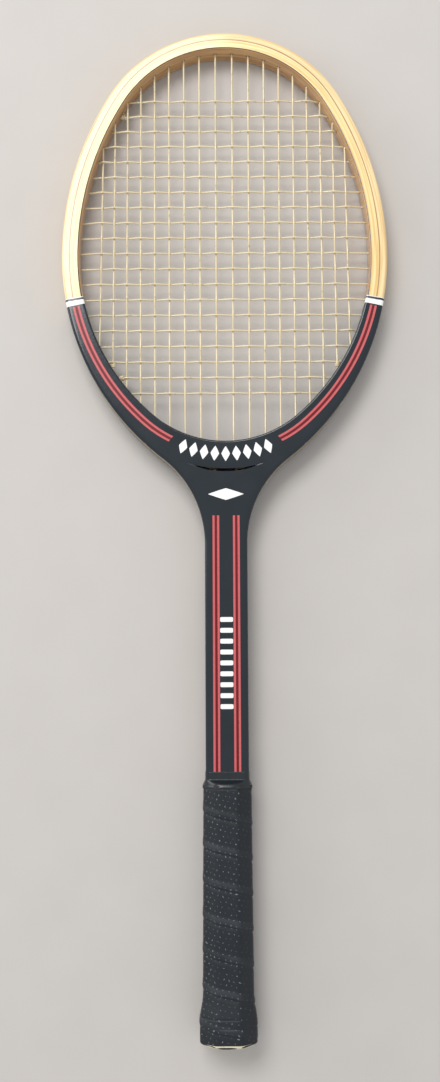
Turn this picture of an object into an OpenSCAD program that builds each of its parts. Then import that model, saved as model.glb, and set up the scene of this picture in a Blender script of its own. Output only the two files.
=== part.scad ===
// Wooden lawn tennis racket, laminated ash, full size.
// Lies flat: handle towards -Y, head towards +Y, playing face up (+Z).
// Lengths along the racket are taken from the butt end.

/* [Racket] */
// length from butt end to top of head
racket_len = 686; // [670:1:700]
// outside width of the head
head_w = 224; // [215:1:235]
// distance from the butt to the widest part of the head
widest_at = 526; // [515:1:535]
// thickness of the frame, front face to back face
frame_depth = 18.5; // [17:0.5:20]

/* [Head outline] */
// outside radius of the top of the head
crown_r = 93; // [88:1:96]
// outside radius of the head below its widest part
shoulder_r = 180; // [172:1:188]
// width of the shaft
shaft_w = 28.6; // [26:0.2:31]
// distance from the butt to where the shaft starts to spread
throat_end = 326; // [318:1:332]

/* [Opening] */
// distance from the butt to the bottom of the strung opening
opening_start = 396; // [392:1:400]
// radius of the bottom of the opening
opening_r = 75; // [72:1:78]

/* [Laminations] */
// outer ash strip
outer_t = 5; // [4:0.5:6]
// dark veneer between the two ash strips
accent_t = 0.8; // [0.6:0.1:1.2]
// inner ash strip
inner_t = 5; // [4:0.5:6]
// red-brown ply that lines the opening
lining_t = 1.2; // [0.8:0.1:1.6]

/* [Throat] */
// width of the bridge under the opening
bridge_w = 19; // [17:0.5:21]
// width of the string slot behind the bridge
slot_w = 2; // [1.8:0.1:2.6]
// half length of the string slot
slot_half = 24; // [22:1:26]
// distance from the butt to the end of the wedge's tail
tail_end = 262; // [240:2:300]

/* [Black overlays] */
// thickness of the overlays on the faces
overlay_t = 0.5; // [0.4:0.1:0.8]
// distance from the butt to the overlays' upper ends, at the outline
overlay_end = 489; // [484:1:494]
// length of the white binding along the hoop
binding_len = 5.6; // [4:0.2:8]
// thickness of the white binding
binding_t = 0.3; // [0.2:0.05:0.5]

/* [Handle] */
// length of the leather grip
grip_len = 166; // [150:1:180]
// width of the grip
grip_w = 32.4; // [30:0.2:34]
// thickness of the grip
grip_h = 28.5; // [27:0.5:31]
// width of the flat on the front of the grip
grip_flat = 15; // [13:0.5:16.5]
// mean thickness of the leather and its laps
leather_t = 1.8; // [1:0.1:2]
// width of the flared butt
butt_w = 37.3; // [35:0.2:39]
// thickness of the flared butt
butt_h = 33.5; // [31:0.5:35]
// distance from the butt to the start of the flare
flare_len = 32; // [24:1:40]
// length of the straight heel below the flare
heel_len = 14; // [6:1:18]
// thickness of the butt cap
cap_t = 2.4; // [2:0.2:3]
// length of the rubber collar above the leather
collar_len = 9; // [8:1:14]
// length of the collar's slope, from the grip down to the shaft
collar_slope = 3; // [2:0.5:6]
// wall of the rubber collar
collar_t = 0.6; // [0.5:0.1:1.2]

/* [Strings] */
// string diameter
string_d = 1.35; // [1.2:0.05:1.4]
// diameter of the drilled string holes
hole_d = 2.2; // [2.1:0.1:2.4]
// number of main strings
mains = 18; // [16:2:18]
// number of cross strings
crosses = 20; // [18:1:20]
// distance from the butt to the first cross string
cross_start = 430.5; // [429:0.5:433]
// spacing of the cross strings
cross_pitch = 11; // [10.6:0.1:11.2]
// spacing of the two middle mains at the throat
main_pitch = 11.3; // [11:0.1:11.4]
// spacing of the two middle mains at the top
top_pitch = 11.8; // [11.6:0.1:11.9]
// how far each string bends at a crossing
weave = 0.85; // [0.8:0.05:0.9]

/* [Hidden] */
$fn = 180;
eps = 0.01;
lap = 4;                // overlap of areas that make one piece
main_squeeze = 0.135;   // the mains close up towards the sides, at the throat
top_squeeze = 0.22;     // and at the top
mid_z = butt_h / 2;
hoop_w = outer_t + accent_t + inner_t + lining_t;
ash_w = outer_t + accent_t + inner_t;
half = head_w / 2;

// Outline of the right half: crown, side, shoulder and throat arcs, each
// tangent to the next. C is a centre, R a radius, at the outside edge.
crown_c = [0, racket_len - crown_r];
side_a = 2 * atan2(half - crown_r, crown_c.y - widest_at);
side_r = crown_r + (crown_c.y - widest_at) / sin(side_a);
side_c = [half - side_r, widest_at];
shoulder_c = [half - shoulder_r, widest_at];
throat_a = 2 * atan2(half - shaft_w / 2, widest_at - throat_end);
throat_r = (widest_at - throat_end) / sin(throat_a) - shoulder_r;
throat_c = [shaft_w / 2 + throat_r, throat_end];

// Lower half of the opening: a flank arc on each side and a bottom arc.
gap_half = half - hoop_w;
bottom_c = [0, opening_start + opening_r];
flank_a = 2 * atan2(gap_half - opening_r, widest_at - bottom_c.y);
flank_r = opening_r + (widest_at - bottom_c.y) / sin(flank_a);
flank_c = [gap_half - flank_r, widest_at];
bridge_r = opening_r + bridge_w;
overlay_a = asin((widest_at - overlay_end) / shoulder_r);   // slope of the ends
bridge_end = 415;       // above this the bridge follows the hoop

// String channel and holes.
channel_d = 1.8;
channel_w = 5.8;
channel_end = 372;
string_in = 0.8;        // string centre below the outside of the hoop
hole_z = 1.5;           // mains this far above the middle, crosses below
string_sides = 6;
tie_share = 0.3;        // place of a tie hole between two strings
knot_r = 0.7;
knot_pitch = 1.5;
knot_start = 3.2;       // from the edge of the opening
knot_play = 0.12;

// Handle.
wood_w = grip_w - 2 * leather_t;
wood_h = grip_h - 2 * leather_t;
wood_flat = grip_flat - leather_t;
butt_flat = grip_flat + 2.6;
overlay_start = grip_len + 5;
tape_len = 2;
tape_t = 0.15;
tack_head_d = 4;
tack_head_h = 1.2;
tack_d = 1.2;
tack_len = 9;
tack_x = 6;

// ---------- outline ----------

function at(c, r, a) = c + r * [cos(a), sin(a)];
function flip(c) = [-c.x, c.y];

// a disc and its mirror image, where they overlap
module lens(c, r) {
    intersection() {
        translate(c) circle(r);
        translate(flip(c)) circle(r);
    }
}

// strip across the racket between two distances from the butt
module strip(from, to, w = head_w) {
    translate([-w / 2, from]) square([w, to - from]);
}

// everything inside the outline, inset by o
module area(o) {
    join = at(crown_c, crown_r - o, side_a).y;
    intersection() {
        lens(side_c, side_r - o);
        strip(widest_at, racket_len);
        union() {
            translate(crown_c) circle(crown_r - o);
            strip(widest_at, join);
        }
    }
    lower_area(o);
}

module lower_area(o) {
    join = at(shoulder_c, shoulder_r - o, -throat_a);
    intersection() {
        lens(shoulder_c, shoulder_r - o);
        strip(join.y - lap, widest_at);
    }
    difference() {
        strip(throat_end, join.y + lap, 2 * join.x);
        translate(throat_c) circle(throat_r + o);
        translate(flip(throat_c)) circle(throat_r + o);
    }
    strip(0, throat_end, shaft_w - 2 * o);
}

module opening() {
    intersection() {
        area(hoop_w);
        strip(widest_at, racket_len);
    }
    intersection() {
        lens(flank_c, flank_r);
        strip(opening_start, widest_at);
        union() {
            translate(bottom_c) circle(opening_r);
            strip(at(bottom_c, opening_r, -flank_a).y, widest_at);
        }
    }
}

// everything below the overlays' upper ends, which are square to the hoop
module below_band() {
    y = shoulder_c.y + shoulder_c.x * tan(overlay_a);
    drop = head_w * tan(overlay_a);
    polygon([[-head_w, 0], [head_w, 0], [head_w, y - drop], [0, y],
             [-head_w, y - drop]]);
}

// the bridge and shoulders: everything above the line of the slot
module above_slot() {
    translate(bottom_c) circle(bridge_r);
    strip(bridge_end, racket_len);
}

module slot_area() {
    intersection() {
        difference() {
            translate(bottom_c) circle(bridge_r + slot_w);
            translate(bottom_c) circle(bridge_r);
        }
        strip(throat_end, bottom_c.y, 2 * slot_half);
    }
}

module octagon(w, h, flat) {
    x = w / 2;
    f = flat / 2;
    z = h / 2 - (x - f) * 0.9;
    polygon([[x, z], [f, h / 2], [-f, h / 2], [-x, z],
             [-x, -z], [-f, -h / 2], [f, -h / 2], [x, -z]]);
}

// prism along the racket between two distances from the butt
module prism(from, to, w, h, flat) {
    translate([0, to, 0]) rotate([90, 0, 0])
        linear_extrude(to - from) octagon(w, h, flat);
}

module loft(from, to, a, b) {
    hull() {
        prism(from, from + eps, a[0], a[1], a[2]);
        prism(to - eps, to, b[0], b[1], b[2]);
    }
}

// ---------- string layout ----------

function unit(v) = v / norm(v);
function mirrored(p, s) = [s * p.x, p.y];
function near_right(p) = [abs(p.x), p.y];
function side_of(p) = p.x < 0 ? -1 : 1;

// edge of the opening: half width at y, lower and upper edge at x
function edge_x(y) =
    y > at(crown_c, crown_r - hoop_w, side_a).y
        ? sqrt(pow(crown_r - hoop_w, 2) - pow(y - crown_c.y, 2))
    : y > widest_at
        ? side_c.x + sqrt(pow(side_r - hoop_w, 2) - pow(y - widest_at, 2))
    : y > at(bottom_c, opening_r, -flank_a).y
        ? flank_c.x + sqrt(pow(flank_r, 2) - pow(y - widest_at, 2))
    : sqrt(pow(opening_r, 2) - pow(y - bottom_c.y, 2));
function edge_bottom(x) =
    abs(x) < at(bottom_c, opening_r, -flank_a).x
        ? bottom_c.y - sqrt(pow(opening_r, 2) - x * x)
        : widest_at - sqrt(pow(flank_r, 2) - pow(abs(x) - flank_c.x, 2));
function edge_top(x) =
    abs(x) < at(crown_c, crown_r - hoop_w, side_a).x
        ? crown_c.y + sqrt(pow(crown_r - hoop_w, 2) - x * x)
        : widest_at + sqrt(pow(side_r - hoop_w, 2) - pow(abs(x) - side_c.x, 2));

// centre of the arc of the opening that p is on, p on the right half
function edge_c(p) =
    p.y > at(crown_c, crown_r - hoop_w, side_a).y ? crown_c
    : p.y > widest_at ? side_c
    : p.y > at(bottom_c, opening_r, -flank_a).y ? flank_c
    : bottom_c;
function out_dir(p) =
    mirrored(unit(near_right(p) - edge_c(near_right(p))), side_of(p));

// how far p on the right half is inside the string's line in the channel
function channel_gap(p) =
    (p.y > at(crown_c, crown_r, side_a).y ? crown_r - norm(p - crown_c)
    : p.y > widest_at ? side_r - norm(p - side_c)
    : p.y > at(shoulder_c, shoulder_r, -throat_a).y
        ? shoulder_r - norm(p - shoulder_c)
    : norm(p - throat_c) - throat_r) - string_in;
function in_slot(p) = p.y < bottom_c.y && abs(p.x) < slot_half;
function slot_gap(p) = bridge_r + slot_w / 2 - norm(p - bottom_c);
// walk from p along d until the string's line outside the wood
function walk_out(p, d, slot, steps = 14) =
    steps == 0 ? p
    : walk_out(p + d * (slot ? slot_gap(p) : channel_gap(near_right(p))),
               d, slot, steps - 1);
function outer_end(p) = walk_out(p + out_dir(p) * hoop_w / 2, out_dir(p), in_slot(p));

function spread(i, pitch, squeeze) =
    let (u = i - (mains - 1) / 2)
    pitch * u - sign(u) * squeeze * u * u;
function main_low(i) =
    let (x = spread(i, main_pitch, main_squeeze)) [x, edge_bottom(x)];
function main_high(i) =
    let (x = spread(i, top_pitch, top_squeeze)) [x, edge_top(x)];
function main_at(i, y) =
    let (a = main_low(i), b = main_high(i))
    [a.x + (b.x - a.x) * (y - a.y) / (b.y - a.y), y];
function cross_y(j) = cross_start + j * cross_pitch;
function cross_end(j, s) = [s * edge_x(cross_y(j)), cross_y(j)];

crossing_margin = 2;    // crossings nearer the edge than this are not woven
function is_woven(p) = abs(p.x) < edge_x(p.y) - crossing_margin
    && p.y < edge_top(p.x) - crossing_margin
    && p.y > edge_bottom(p.x) + crossing_margin;
function over(i, j) = (i + j) % 2 == 0 ? 1 : -1;
function lift(p, z) = [p.x, p.y, z];
function reversed(v) = [for (k = [len(v) - 1 : -1 : 0]) v[k]];

function main_line(i) = concat(
    [lift(main_low(i), hole_z)],
    [for (j = [0 : crosses - 1])
        let (p = main_at(i, cross_y(j)))
        if (is_woven(p)) lift(p, weave * over(i, j))],
    [lift(main_high(i), hole_z)]);
function cross_line(j) = concat(
    [lift(cross_end(j, -1), -hole_z)],
    [for (i = [0 : mains - 1])
        let (p = main_at(i, cross_y(j)))
        if (is_woven(p)) lift(p, -weave * over(i, j))],
    [lift(cross_end(j, 1), -hole_z)]);

// outside the wood from the hole at a to the hole at b
function loop(a, b, z) =
    let (p = outer_end(a), q = outer_end(b), slot = in_slot(a) && in_slot(b),
         d = unit(out_dir(a) + out_dir(b)))
    [for (t = [0 : 0.25 : 1]) lift(walk_out(p + (q - p) * t, d, slot), z)];
function xy(p) = [p.x, p.y];

// tail of a string: out of its own hole and back in through a tie hole
function tie_hole(a, b) = let (p = a + (b - a) * tie_share)
    abs(b.x - a.x) > abs(b.y - a.y)
        ? [p.x, edge_bottom(p.x)]
        : [side_of(p) * edge_x(p.y), p.y];
function tail(own, anchor, z) =
    let (t = tie_hole(anchor, own), d = out_dir(t))
    concat(loop(own, t, z), [lift(t, z), lift(t - d * 2, z)]);

function zigzag(lines, z) = [for (k = [0 : len(lines) - 1])
    each concat(
        k % 2 == 0 ? lines[k] : reversed(lines[k]),
        k == len(lines) - 1 ? []
            : let (e = k % 2 == 0 ? len(lines[k]) - 1 : 0,
                   f = k % 2 == 0 ? len(lines[k + 1]) - 1 : 0)
              loop(xy(lines[k][e]), xy(lines[k + 1][f]), z))];

function main_path() = concat(
    reversed(tail(main_low(0), main_low(1), hole_z)),
    zigzag([for (i = [0 : mains - 1]) main_line(i)], hole_z),
    tail(main_low(mains - 1), main_low(mains - 2), hole_z));
function cross_path() = concat(
    reversed(tail(cross_end(0, -1), cross_end(1, -1), -hole_z)),
    zigzag([for (j = [0 : crosses - 1]) cross_line(j)], -hole_z),
    tail(cross_end(crosses - 1, crosses % 2 == 0 ? -1 : 1),
         cross_end(crosses - 2, crosses % 2 == 0 ? -1 : 1), -hole_z));

// round cord along a path that stays nearly level
module cord(path, d, sides) {
    n = len(path);
    leg = [for (k = [0 : n - 2]) unit(path[k + 1] - path[k])];
    across = [for (v = leg) unit(cross(v, [0, 0, 1]))];
    points = [for (k = [0 : n - 1])
        let (a = across[max(k - 1, 0)], b = across[min(k, n - 2)],
             s = unit(a + b), wide = min(1 / (s * b), 1.6),
             t = unit(leg[max(k - 1, 0)] + leg[min(k, n - 2)]),
             up = cross(s, t))
        for (m = [0 : sides - 1])
            path[k] + d / 2 * (cos(m * 360 / sides) * wide * s
                               + sin(m * 360 / sides) * up)];
    walls = [for (k = [0 : n - 2]) for (m = [0 : sides - 1])
        let (a = k * sides + m, b = k * sides + (m + 1) % sides)
        each [[a, b, b + sides], [a, b + sides, a + sides]]];
    polyhedron(points, concat(
        [[for (m = [sides - 1 : -1 : 0]) m]],
        walls,
        [[for (m = [0 : sides - 1]) (n - 1) * sides + m]]));
}

// hole from inside the opening to the slot, or right through the wood
module hole(p, z) {
    depth = in_slot(p) ? bridge_w + slot_w / 2 : 2 * bridge_w;
    d = out_dir(p);
    translate(lift(p - d, z)) rotate([0, 90, atan2(d.y, d.x)])
        cylinder(h = 1 + depth, d = hole_d, $fn = 24);
}

module string_holes() {
    for (i = [0 : mains - 1]) {
        hole(main_low(i), hole_z);
        hole(main_high(i), hole_z);
    }
    for (j = [0 : crosses - 1], s = [-1, 1]) hole(cross_end(j, s), -hole_z);
    hole(tie_hole(main_low(1), main_low(0)), hole_z);
    hole(tie_hole(main_low(mains - 2), main_low(mains - 1)), hole_z);
    hole(tie_hole(cross_end(1, -1), cross_end(0, -1)), -hole_z);
    hole(tie_hole(cross_end(crosses - 2, -1), cross_end(crosses - 1, -1)), -hole_z);
}

// ---------- wooden frame ----------

// from the butt's frame to the part's own frame
module placed() {
    translate([0, -racket_len / 2, mid_z]) children();
}

module slab(depth) {
    linear_extrude(depth, center = true) children();
}

module overlay_rebates() {
    for (s = [-1, 1]) translate([0, 0, s * frame_depth / 2])
        slab(2 * overlay_t) difference() {
            below_band();
            strip(-1, overlay_start, 2 * head_w);
        }
}

module handle_bevels() {
    difference() {
        translate([-head_w / 2, -1, -frame_depth])
            cube([head_w, grip_len + 1, 2 * frame_depth]);
        prism(-2, grip_len + 1, wood_w, wood_h, wood_flat);
    }
}

// one bent strip of the hoop, from inset a to inset b
module lamination(a, b) {
    difference() {
        slab(frame_depth) difference() {
            area(a);
            area(b);
            strip(-1, cap_t);
        }
        string_holes();
        overlay_rebates();
        handle_bevels();
        tacks();
        band(-1);
        band(1);
    }
}

module outer_lamination() {
    color("#e3cd9c") placed() difference() {
        lamination(0, outer_t);
        slab(channel_w) difference() {
            strip(channel_end, racket_len + 1, head_w + 2);
            area(channel_d);
        }
    }
}

module accent_veneer() {
    color("#4a3222") placed() lamination(outer_t, outer_t + accent_t);
}

module inner_lamination() {
    color("#d9b872") placed() lamination(outer_t + accent_t, ash_w);
}

module lining_ply() {
    color("#a8653c") placed() difference() {
        slab(frame_depth) difference() {
            area(ash_w);
            opening();
            below_band();
        }
        string_holes();
        band(-1);
        band(1);
    }
}

module throat_bridge() {
    color("#b98a55") placed() difference() {
        slab(frame_depth) difference() {
            intersection() {
                lower_area(ash_w);
                above_slot();
                below_band();
            }
            opening();
        }
        string_holes();
        overlay_rebates();
    }
}

module throat_wedge() {
    color("#9c6a3e") placed() difference() {
        slab(frame_depth) difference() {
            intersection() {
                lower_area(ash_w);
                strip(tail_end, overlay_end);
            }
            above_slot();
            slot_area();
        }
        string_holes();
        overlay_rebates();
    }
}

module shaft_core() {
    color("#8a5a36") placed() difference() {
        slab(frame_depth) strip(cap_t, tail_end, shaft_w - 2 * ash_w);
        overlay_rebates();
    }
}

// ---------- black overlays and white bindings ----------

module on_face(side) {
    placed() translate([0, 0, side * (frame_depth - overlay_t) / 2])
        slab(overlay_t) children();
}

module shoulder_overlay(side) {
    color("#2d3740") on_face(side) difference() {
        intersection() {
            lower_area(0);
            above_slot();
            below_band();
        }
        opening();
    }
}

module shaft_overlay(side) {
    color("#2d3740") on_face(side) difference() {
        intersection() {
            lower_area(0);
            strip(overlay_start, overlay_end);
        }
        above_slot();
        slot_area();
    }
}

module front_shoulder_overlay() { shoulder_overlay(1); }
module back_shoulder_overlay() { shoulder_overlay(-1); }
module front_shaft_overlay() { shaft_overlay(1); }
module back_shaft_overlay() { shaft_overlay(-1); }

// one side of the hoop, inset by t
module hoop_side(side, t) {
    slab(frame_depth - 2 * t) difference() {
        translate(mirrored(shoulder_c, side)) circle(shoulder_r - t);
        translate(mirrored(flank_c, side)) circle(flank_r + t);
    }
}

// band let in flush round one side of the hoop, above the overlays
module band(side) {
    intersection() {
        difference() {
            hoop_side(side, 0);
            hoop_side(side, binding_t);
        }
        translate(lift(mirrored(shoulder_c, side), 0))
            rotate(side * -overlay_a) translate([side * shoulder_r, binding_len / 2, 0])
                cube([2 * bridge_w, binding_len, frame_depth], center = true);
    }
}

module binding(side) {
    color("#f2f2ee") placed() difference() {
        band(side);
        string_holes();
    }
}

module left_binding() { binding(-1); }
module right_binding() { binding(1); }

// ---------- handle ----------

module handle_pallet(side) {
    color("#c9a36b") placed() intersection() {
        prism(cap_t, grip_len, wood_w, wood_h, wood_flat);
        translate([-wood_w, 0, side > 0 ? frame_depth / 2 : -frame_depth / 2 - wood_h])
            cube([2 * wood_w, grip_len, wood_h]);
    }
}

module front_pallet() { handle_pallet(1); }
module back_pallet() { handle_pallet(-1); }

// flared end, inset by t from the leather's outside
module flare(t) {
    heel = [butt_w - 2 * t, butt_h - 2 * t, butt_flat - t];
    prism(cap_t, heel_len, heel[0], heel[1], heel[2]);
    loft(heel_len - eps, flare_len, heel,
         [grip_w - 2 * t, grip_h - 2 * t, grip_flat - t]);
}

module butt_cheek(side) {
    color("#c19a63") placed() intersection() {
        difference() {
            flare(leather_t);
            prism(-1, flare_len + 1, wood_w, wood_h, wood_flat);
        }
        translate([side > 0 ? 0 : -butt_w, 0, -butt_h / 2])
            cube([butt_w, flare_len, butt_h]);
    }
}

module left_butt_cheek() { butt_cheek(-1); }
module right_butt_cheek() { butt_cheek(1); }

module leather_grip() {
    color("#26282b") placed() difference() {
        union() {
            prism(flare_len - eps, grip_len, grip_w, grip_h, grip_flat);
            flare(0);
        }
        prism(-1, grip_len + 1, wood_w, wood_h, wood_flat);
        flare(leather_t);
    }
}

// tape that holds the top end of the leather, under the collar
module finishing_tape() {
    color("#1f1f1f") placed() difference() {
        prism(grip_len - tape_len, grip_len, grip_w + 2 * tape_t,
              grip_h + 2 * tape_t, grip_flat);
        prism(grip_len - tape_len - 1, grip_len + 1, grip_w, grip_h, grip_flat);
    }
}

module grip_collar() {
    lip = tape_t + collar_t;
    top_w = shaft_w + 2 * collar_t;
    top_h = frame_depth + 2 * collar_t;
    color("#17181a") placed() difference() {
        union() {
            prism(grip_len - tape_len, grip_len, grip_w + 2 * lip,
                  grip_h + 2 * lip, grip_flat + lip);
            loft(grip_len, grip_len + collar_slope,
                 [grip_w + 2 * lip, grip_h + 2 * lip, grip_flat + lip],
                 [top_w, top_h, top_w - 2]);
            prism(grip_len + collar_slope - eps, grip_len + collar_len,
                  top_w, top_h, top_w - 2);
        }
        prism(grip_len - tape_len - 1, grip_len, grip_w + 2 * tape_t,
              grip_h + 2 * tape_t, grip_flat);
        translate([-shaft_w / 2, grip_len - 1, -frame_depth / 2])
            cube([shaft_w, collar_len + 2, frame_depth]);
    }
}

module butt_cap() {
    rim = butt_w - 2 * cap_t;
    color("#e9e4d4") placed() difference() {
        loft(0, cap_t, [rim, butt_h - 2 * cap_t, butt_flat - cap_t],
             [butt_w, butt_h, butt_flat]);
        tacks();
    }
}

// two countersunk tacks through the cap into the ash strips
module tacks() {
    for (s = [-1, 1]) translate([s * tack_x, 0, 0]) rotate([-90, 0, 0]) {
        cylinder(h = tack_len, d = tack_d, $fn = 24);
        cylinder(h = tack_head_h, d1 = tack_head_d, d2 = tack_d, $fn = 24);
    }
}

module butt_tacks() {
    color("#b9a05c") placed() tacks();
}

// ---------- strings ----------

module main_string() {
    color("#e6dcc0") placed() cord(main_path(), string_d, string_sides);
}

module cross_string() {
    color("#e6dcc0") placed() cord(cross_path(), string_d, string_sides);
}

// two turns round the anchor string, from point a towards point b
module knot(a, b) {
    d = unit(b - a);
    for (k = [0, 1])
        translate(a + d * (knot_start + k * knot_pitch))
            rotate([0, acos(d.z), atan2(d.y, d.x)])
                rotate_extrude($fn = 32) translate([string_d / 2 + knot_r + knot_play, 0])
                    circle(knot_r, $fn = 24);
}

module string_knots() {
    left = main_line(1);
    right = main_line(mains - 2);
    low = cross_line(1);
    high = cross_line(crosses - 2);
    color("#e6dcc0") placed() {
        knot(left[0], left[1]);
        knot(right[0], right[1]);
        knot(low[0], low[1]);
        knot(high[0], high[1]);
    }
}

outer_lamination();
accent_veneer();
inner_lamination();
lining_ply();
throat_bridge();
throat_wedge();
shaft_core();
front_shoulder_overlay();
back_shoulder_overlay();
front_shaft_overlay();
back_shaft_overlay();
left_binding();
right_binding();
front_pallet();
back_pallet();
left_butt_cheek();
right_butt_cheek();
leather_grip();
finishing_tape();
grip_collar();
butt_cap();
butt_tacks();
main_string();
cross_string();
string_knots();
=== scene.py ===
"""Wooden lawn tennis racket: the finished look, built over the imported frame."""

import bmesh
import bpy
import numpy as np
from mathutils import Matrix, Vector


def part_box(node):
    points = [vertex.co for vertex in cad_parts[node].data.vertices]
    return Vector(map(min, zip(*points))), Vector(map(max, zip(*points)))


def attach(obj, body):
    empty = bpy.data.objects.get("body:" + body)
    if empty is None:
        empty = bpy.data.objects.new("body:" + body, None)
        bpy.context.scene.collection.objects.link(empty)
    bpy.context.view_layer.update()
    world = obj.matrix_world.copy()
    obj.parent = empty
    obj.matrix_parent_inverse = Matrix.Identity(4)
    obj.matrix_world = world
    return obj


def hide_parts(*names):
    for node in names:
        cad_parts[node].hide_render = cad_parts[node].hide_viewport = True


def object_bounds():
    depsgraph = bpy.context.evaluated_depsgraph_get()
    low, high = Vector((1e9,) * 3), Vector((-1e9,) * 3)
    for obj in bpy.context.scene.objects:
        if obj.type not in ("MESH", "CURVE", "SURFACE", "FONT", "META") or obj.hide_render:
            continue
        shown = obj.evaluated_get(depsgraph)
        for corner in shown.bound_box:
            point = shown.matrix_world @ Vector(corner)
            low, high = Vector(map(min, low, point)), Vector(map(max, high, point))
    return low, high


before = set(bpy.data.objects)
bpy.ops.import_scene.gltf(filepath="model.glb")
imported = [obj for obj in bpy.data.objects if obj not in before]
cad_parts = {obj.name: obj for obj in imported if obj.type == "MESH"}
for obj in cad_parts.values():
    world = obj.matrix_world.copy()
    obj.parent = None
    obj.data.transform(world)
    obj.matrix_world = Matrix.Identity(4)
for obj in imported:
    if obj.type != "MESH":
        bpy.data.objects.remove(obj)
cad_box = [[float(v) for v in corner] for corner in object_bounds()]


# ---------- outer ash strip ----------
# One long strip of steamed white ash, bent round the head and glued down both
# sides of the shaft. A channel milled in its outer edge hides the strings where
# they pass from hole to hole. Its edges are rounded and it has clear gloss lacquer.

MM = 0.001
butt_y = cad_box[0][1]
wood_low, wood_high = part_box("outer_lamination")
mid_z = (wood_low[2] + wood_high[2]) / 2
half_depth = (wood_high[2] - wood_low[2]) / 2 / MM
half_width = wood_high[0] / MM
racket_len = (cad_box[1][1] - butt_y) / MM

WIDEST_AT = 526            # these two are distances from the butt
THROAT_END = 326
CROWN_R = 93               # radii of the top of the head and of the shoulders
SHOULDER_R = 180
SHAFT_HALF = 14.3
OUTER_T, VENEER_T, INNER_T, LINING_T = 5, 0.8, 5, 1.2
HOOP_W = OUTER_T + VENEER_T + INNER_T + LINING_T
ASH_W = HOOP_W - LINING_T
GRIP_LEN = 166
CAP_T = 2.4
CHANNEL_HALF, CHANNEL_DEPTH = 2.9, 1.8
CHANNEL_REACH = 6          # the cutter runs out over this length
CHANNEL_TAIL = 16          # and this far below the shoulders' arcs
EDGE_R = 2.0               # rounding of the outer edges
PAINT_STEP = 0.6           # how far the wood lies below the lacquered faces
HANDLE_HALF = 6            # the strips are thinned inside the handle
BAND_Y = 489               # the bands' lower edge, where the black begins

crown_y = racket_len - CROWN_R
side_a = 2 * np.degrees(np.arctan2(half_width - CROWN_R, crown_y - WIDEST_AT))
side_r = CROWN_R + (crown_y - WIDEST_AT) / np.sin(np.radians(side_a))
shoulder_x = half_width - SHOULDER_R
throat_a = 2 * np.degrees(
    np.arctan2(half_width - SHAFT_HALF, WIDEST_AT - THROAT_END))
throat_r = (WIDEST_AT - THROAT_END) / np.sin(np.radians(throat_a)) - SHOULDER_R
throat_x = SHAFT_HALF + throat_r
overlay_a = np.degrees(np.arcsin((WIDEST_AT - BAND_Y) / SHOULDER_R))

# arcs from the top of the head down the right side: centre, radius, angles at
# the two ends, and 1 or -1 for an outward normal away from or to the centre
OUTLINE = [
    (0, crown_y, CROWN_R, 90, side_a, 1),
    (half_width - side_r, WIDEST_AT, side_r, side_a, 0, 1),
    (shoulder_x, WIDEST_AT, SHOULDER_R, 0, -throat_a, 1),
    (throat_x, THROAT_END, throat_r, 180 - throat_a, 180, -1),
]


def arc_ends(arcs):
    """Distance from the top of the head to the end of each arc in turn."""
    return np.cumsum([r * np.radians(abs(b - a)) for _, _, r, a, b, _ in arcs])


def follow(arcs, s):
    """Point and outward normal at distance s from the top of the head, minus on
    the left: round each arc in turn, then straight down."""
    d, side = np.abs(s), np.where(np.asarray(s) < 0, -1.0, 1.0)
    x, y, nx, ny = (np.zeros_like(d) for _ in range(4))
    begin = 0
    for (cx, cy, r, first, last, sense), end in zip(arcs, arc_ends(arcs)):
        t = np.clip((d - begin) / (end - begin), 0, 1)
        angle = np.radians(first + (last - first) * t)
        here = d >= begin
        x = np.where(here, cx + r * np.cos(angle), x)
        y = np.where(here, cy + r * np.sin(angle), y)
        nx = np.where(here, sense * np.cos(angle), nx)
        ny = np.where(here, sense * np.sin(angle), ny)
        begin = end
    return side * x, y - np.maximum(d - begin, 0), side * nx, ny


def metres(*parts):
    """Grid of vectors in metres, from three grids or numbers in mm."""
    return np.stack(np.broadcast_arrays(*parts), -1) * MM


def in_frame(x, y, z):
    """Metres in the part's frame, from mm across, from the butt end and from the
    middle plane."""
    return metres(x, y, z) + [0, butt_y, mid_z]


def rounded(depth, radius, turns):
    """Quarter circle from the flat face to the side wall: inset and height."""
    a = np.radians(np.linspace(90, 0, turns))
    return radius * (1 - np.cos(a)), depth - radius * (1 - np.sin(a))


def surface(name, points, round_u=False, grain=None, sharp=35):
    """Closed skin over a grid of points (u, v, 3): a quad between neighbours,
    joined round v and, if asked, round u, or else capped at both ends."""
    nu, nv = points.shape[:2]
    index = np.arange(nu * nv).reshape(nu, nv)
    index = np.hstack([index, index[:, :1]])
    if round_u:
        index = np.vstack([index, index[:1]])
    quads = np.stack([index[:-1, :-1], index[1:, :-1], index[1:, 1:],
                      index[:-1, 1:]], -1).reshape(-1, 4).tolist()
    if not round_u:
        quads += [index[0, :nv].tolist(), index[-1, :nv][::-1].tolist()]
    mesh = bpy.data.meshes.new(name)
    mesh.from_pydata(points.reshape(-1, 3), [], quads)
    if grain is not None:
        layer = mesh.attributes.new("grain", "FLOAT_VECTOR", "POINT")
        layer.data.foreach_set(
            "vector", np.broadcast_to(grain, points.shape).astype("f").ravel())
    finish_mesh(mesh, sharp)
    piece = bpy.data.objects.new(name, mesh)
    bpy.context.scene.collection.objects.link(piece)
    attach(piece, "root")
    return piece


def finish_mesh(mesh, sharp, weld=False):
    """Outward faces, smooth shading, and sharp edges past an angle."""
    work = bmesh.new()
    work.from_mesh(mesh)
    if weld:
        bmesh.ops.remove_doubles(work, verts=work.verts, dist=2e-6)
    bmesh.ops.recalc_face_normals(work, faces=work.faces)
    work.to_mesh(mesh)
    work.free()
    mesh.shade_smooth()
    mesh.set_sharp_from_angle(angle=np.radians(sharp))


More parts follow.
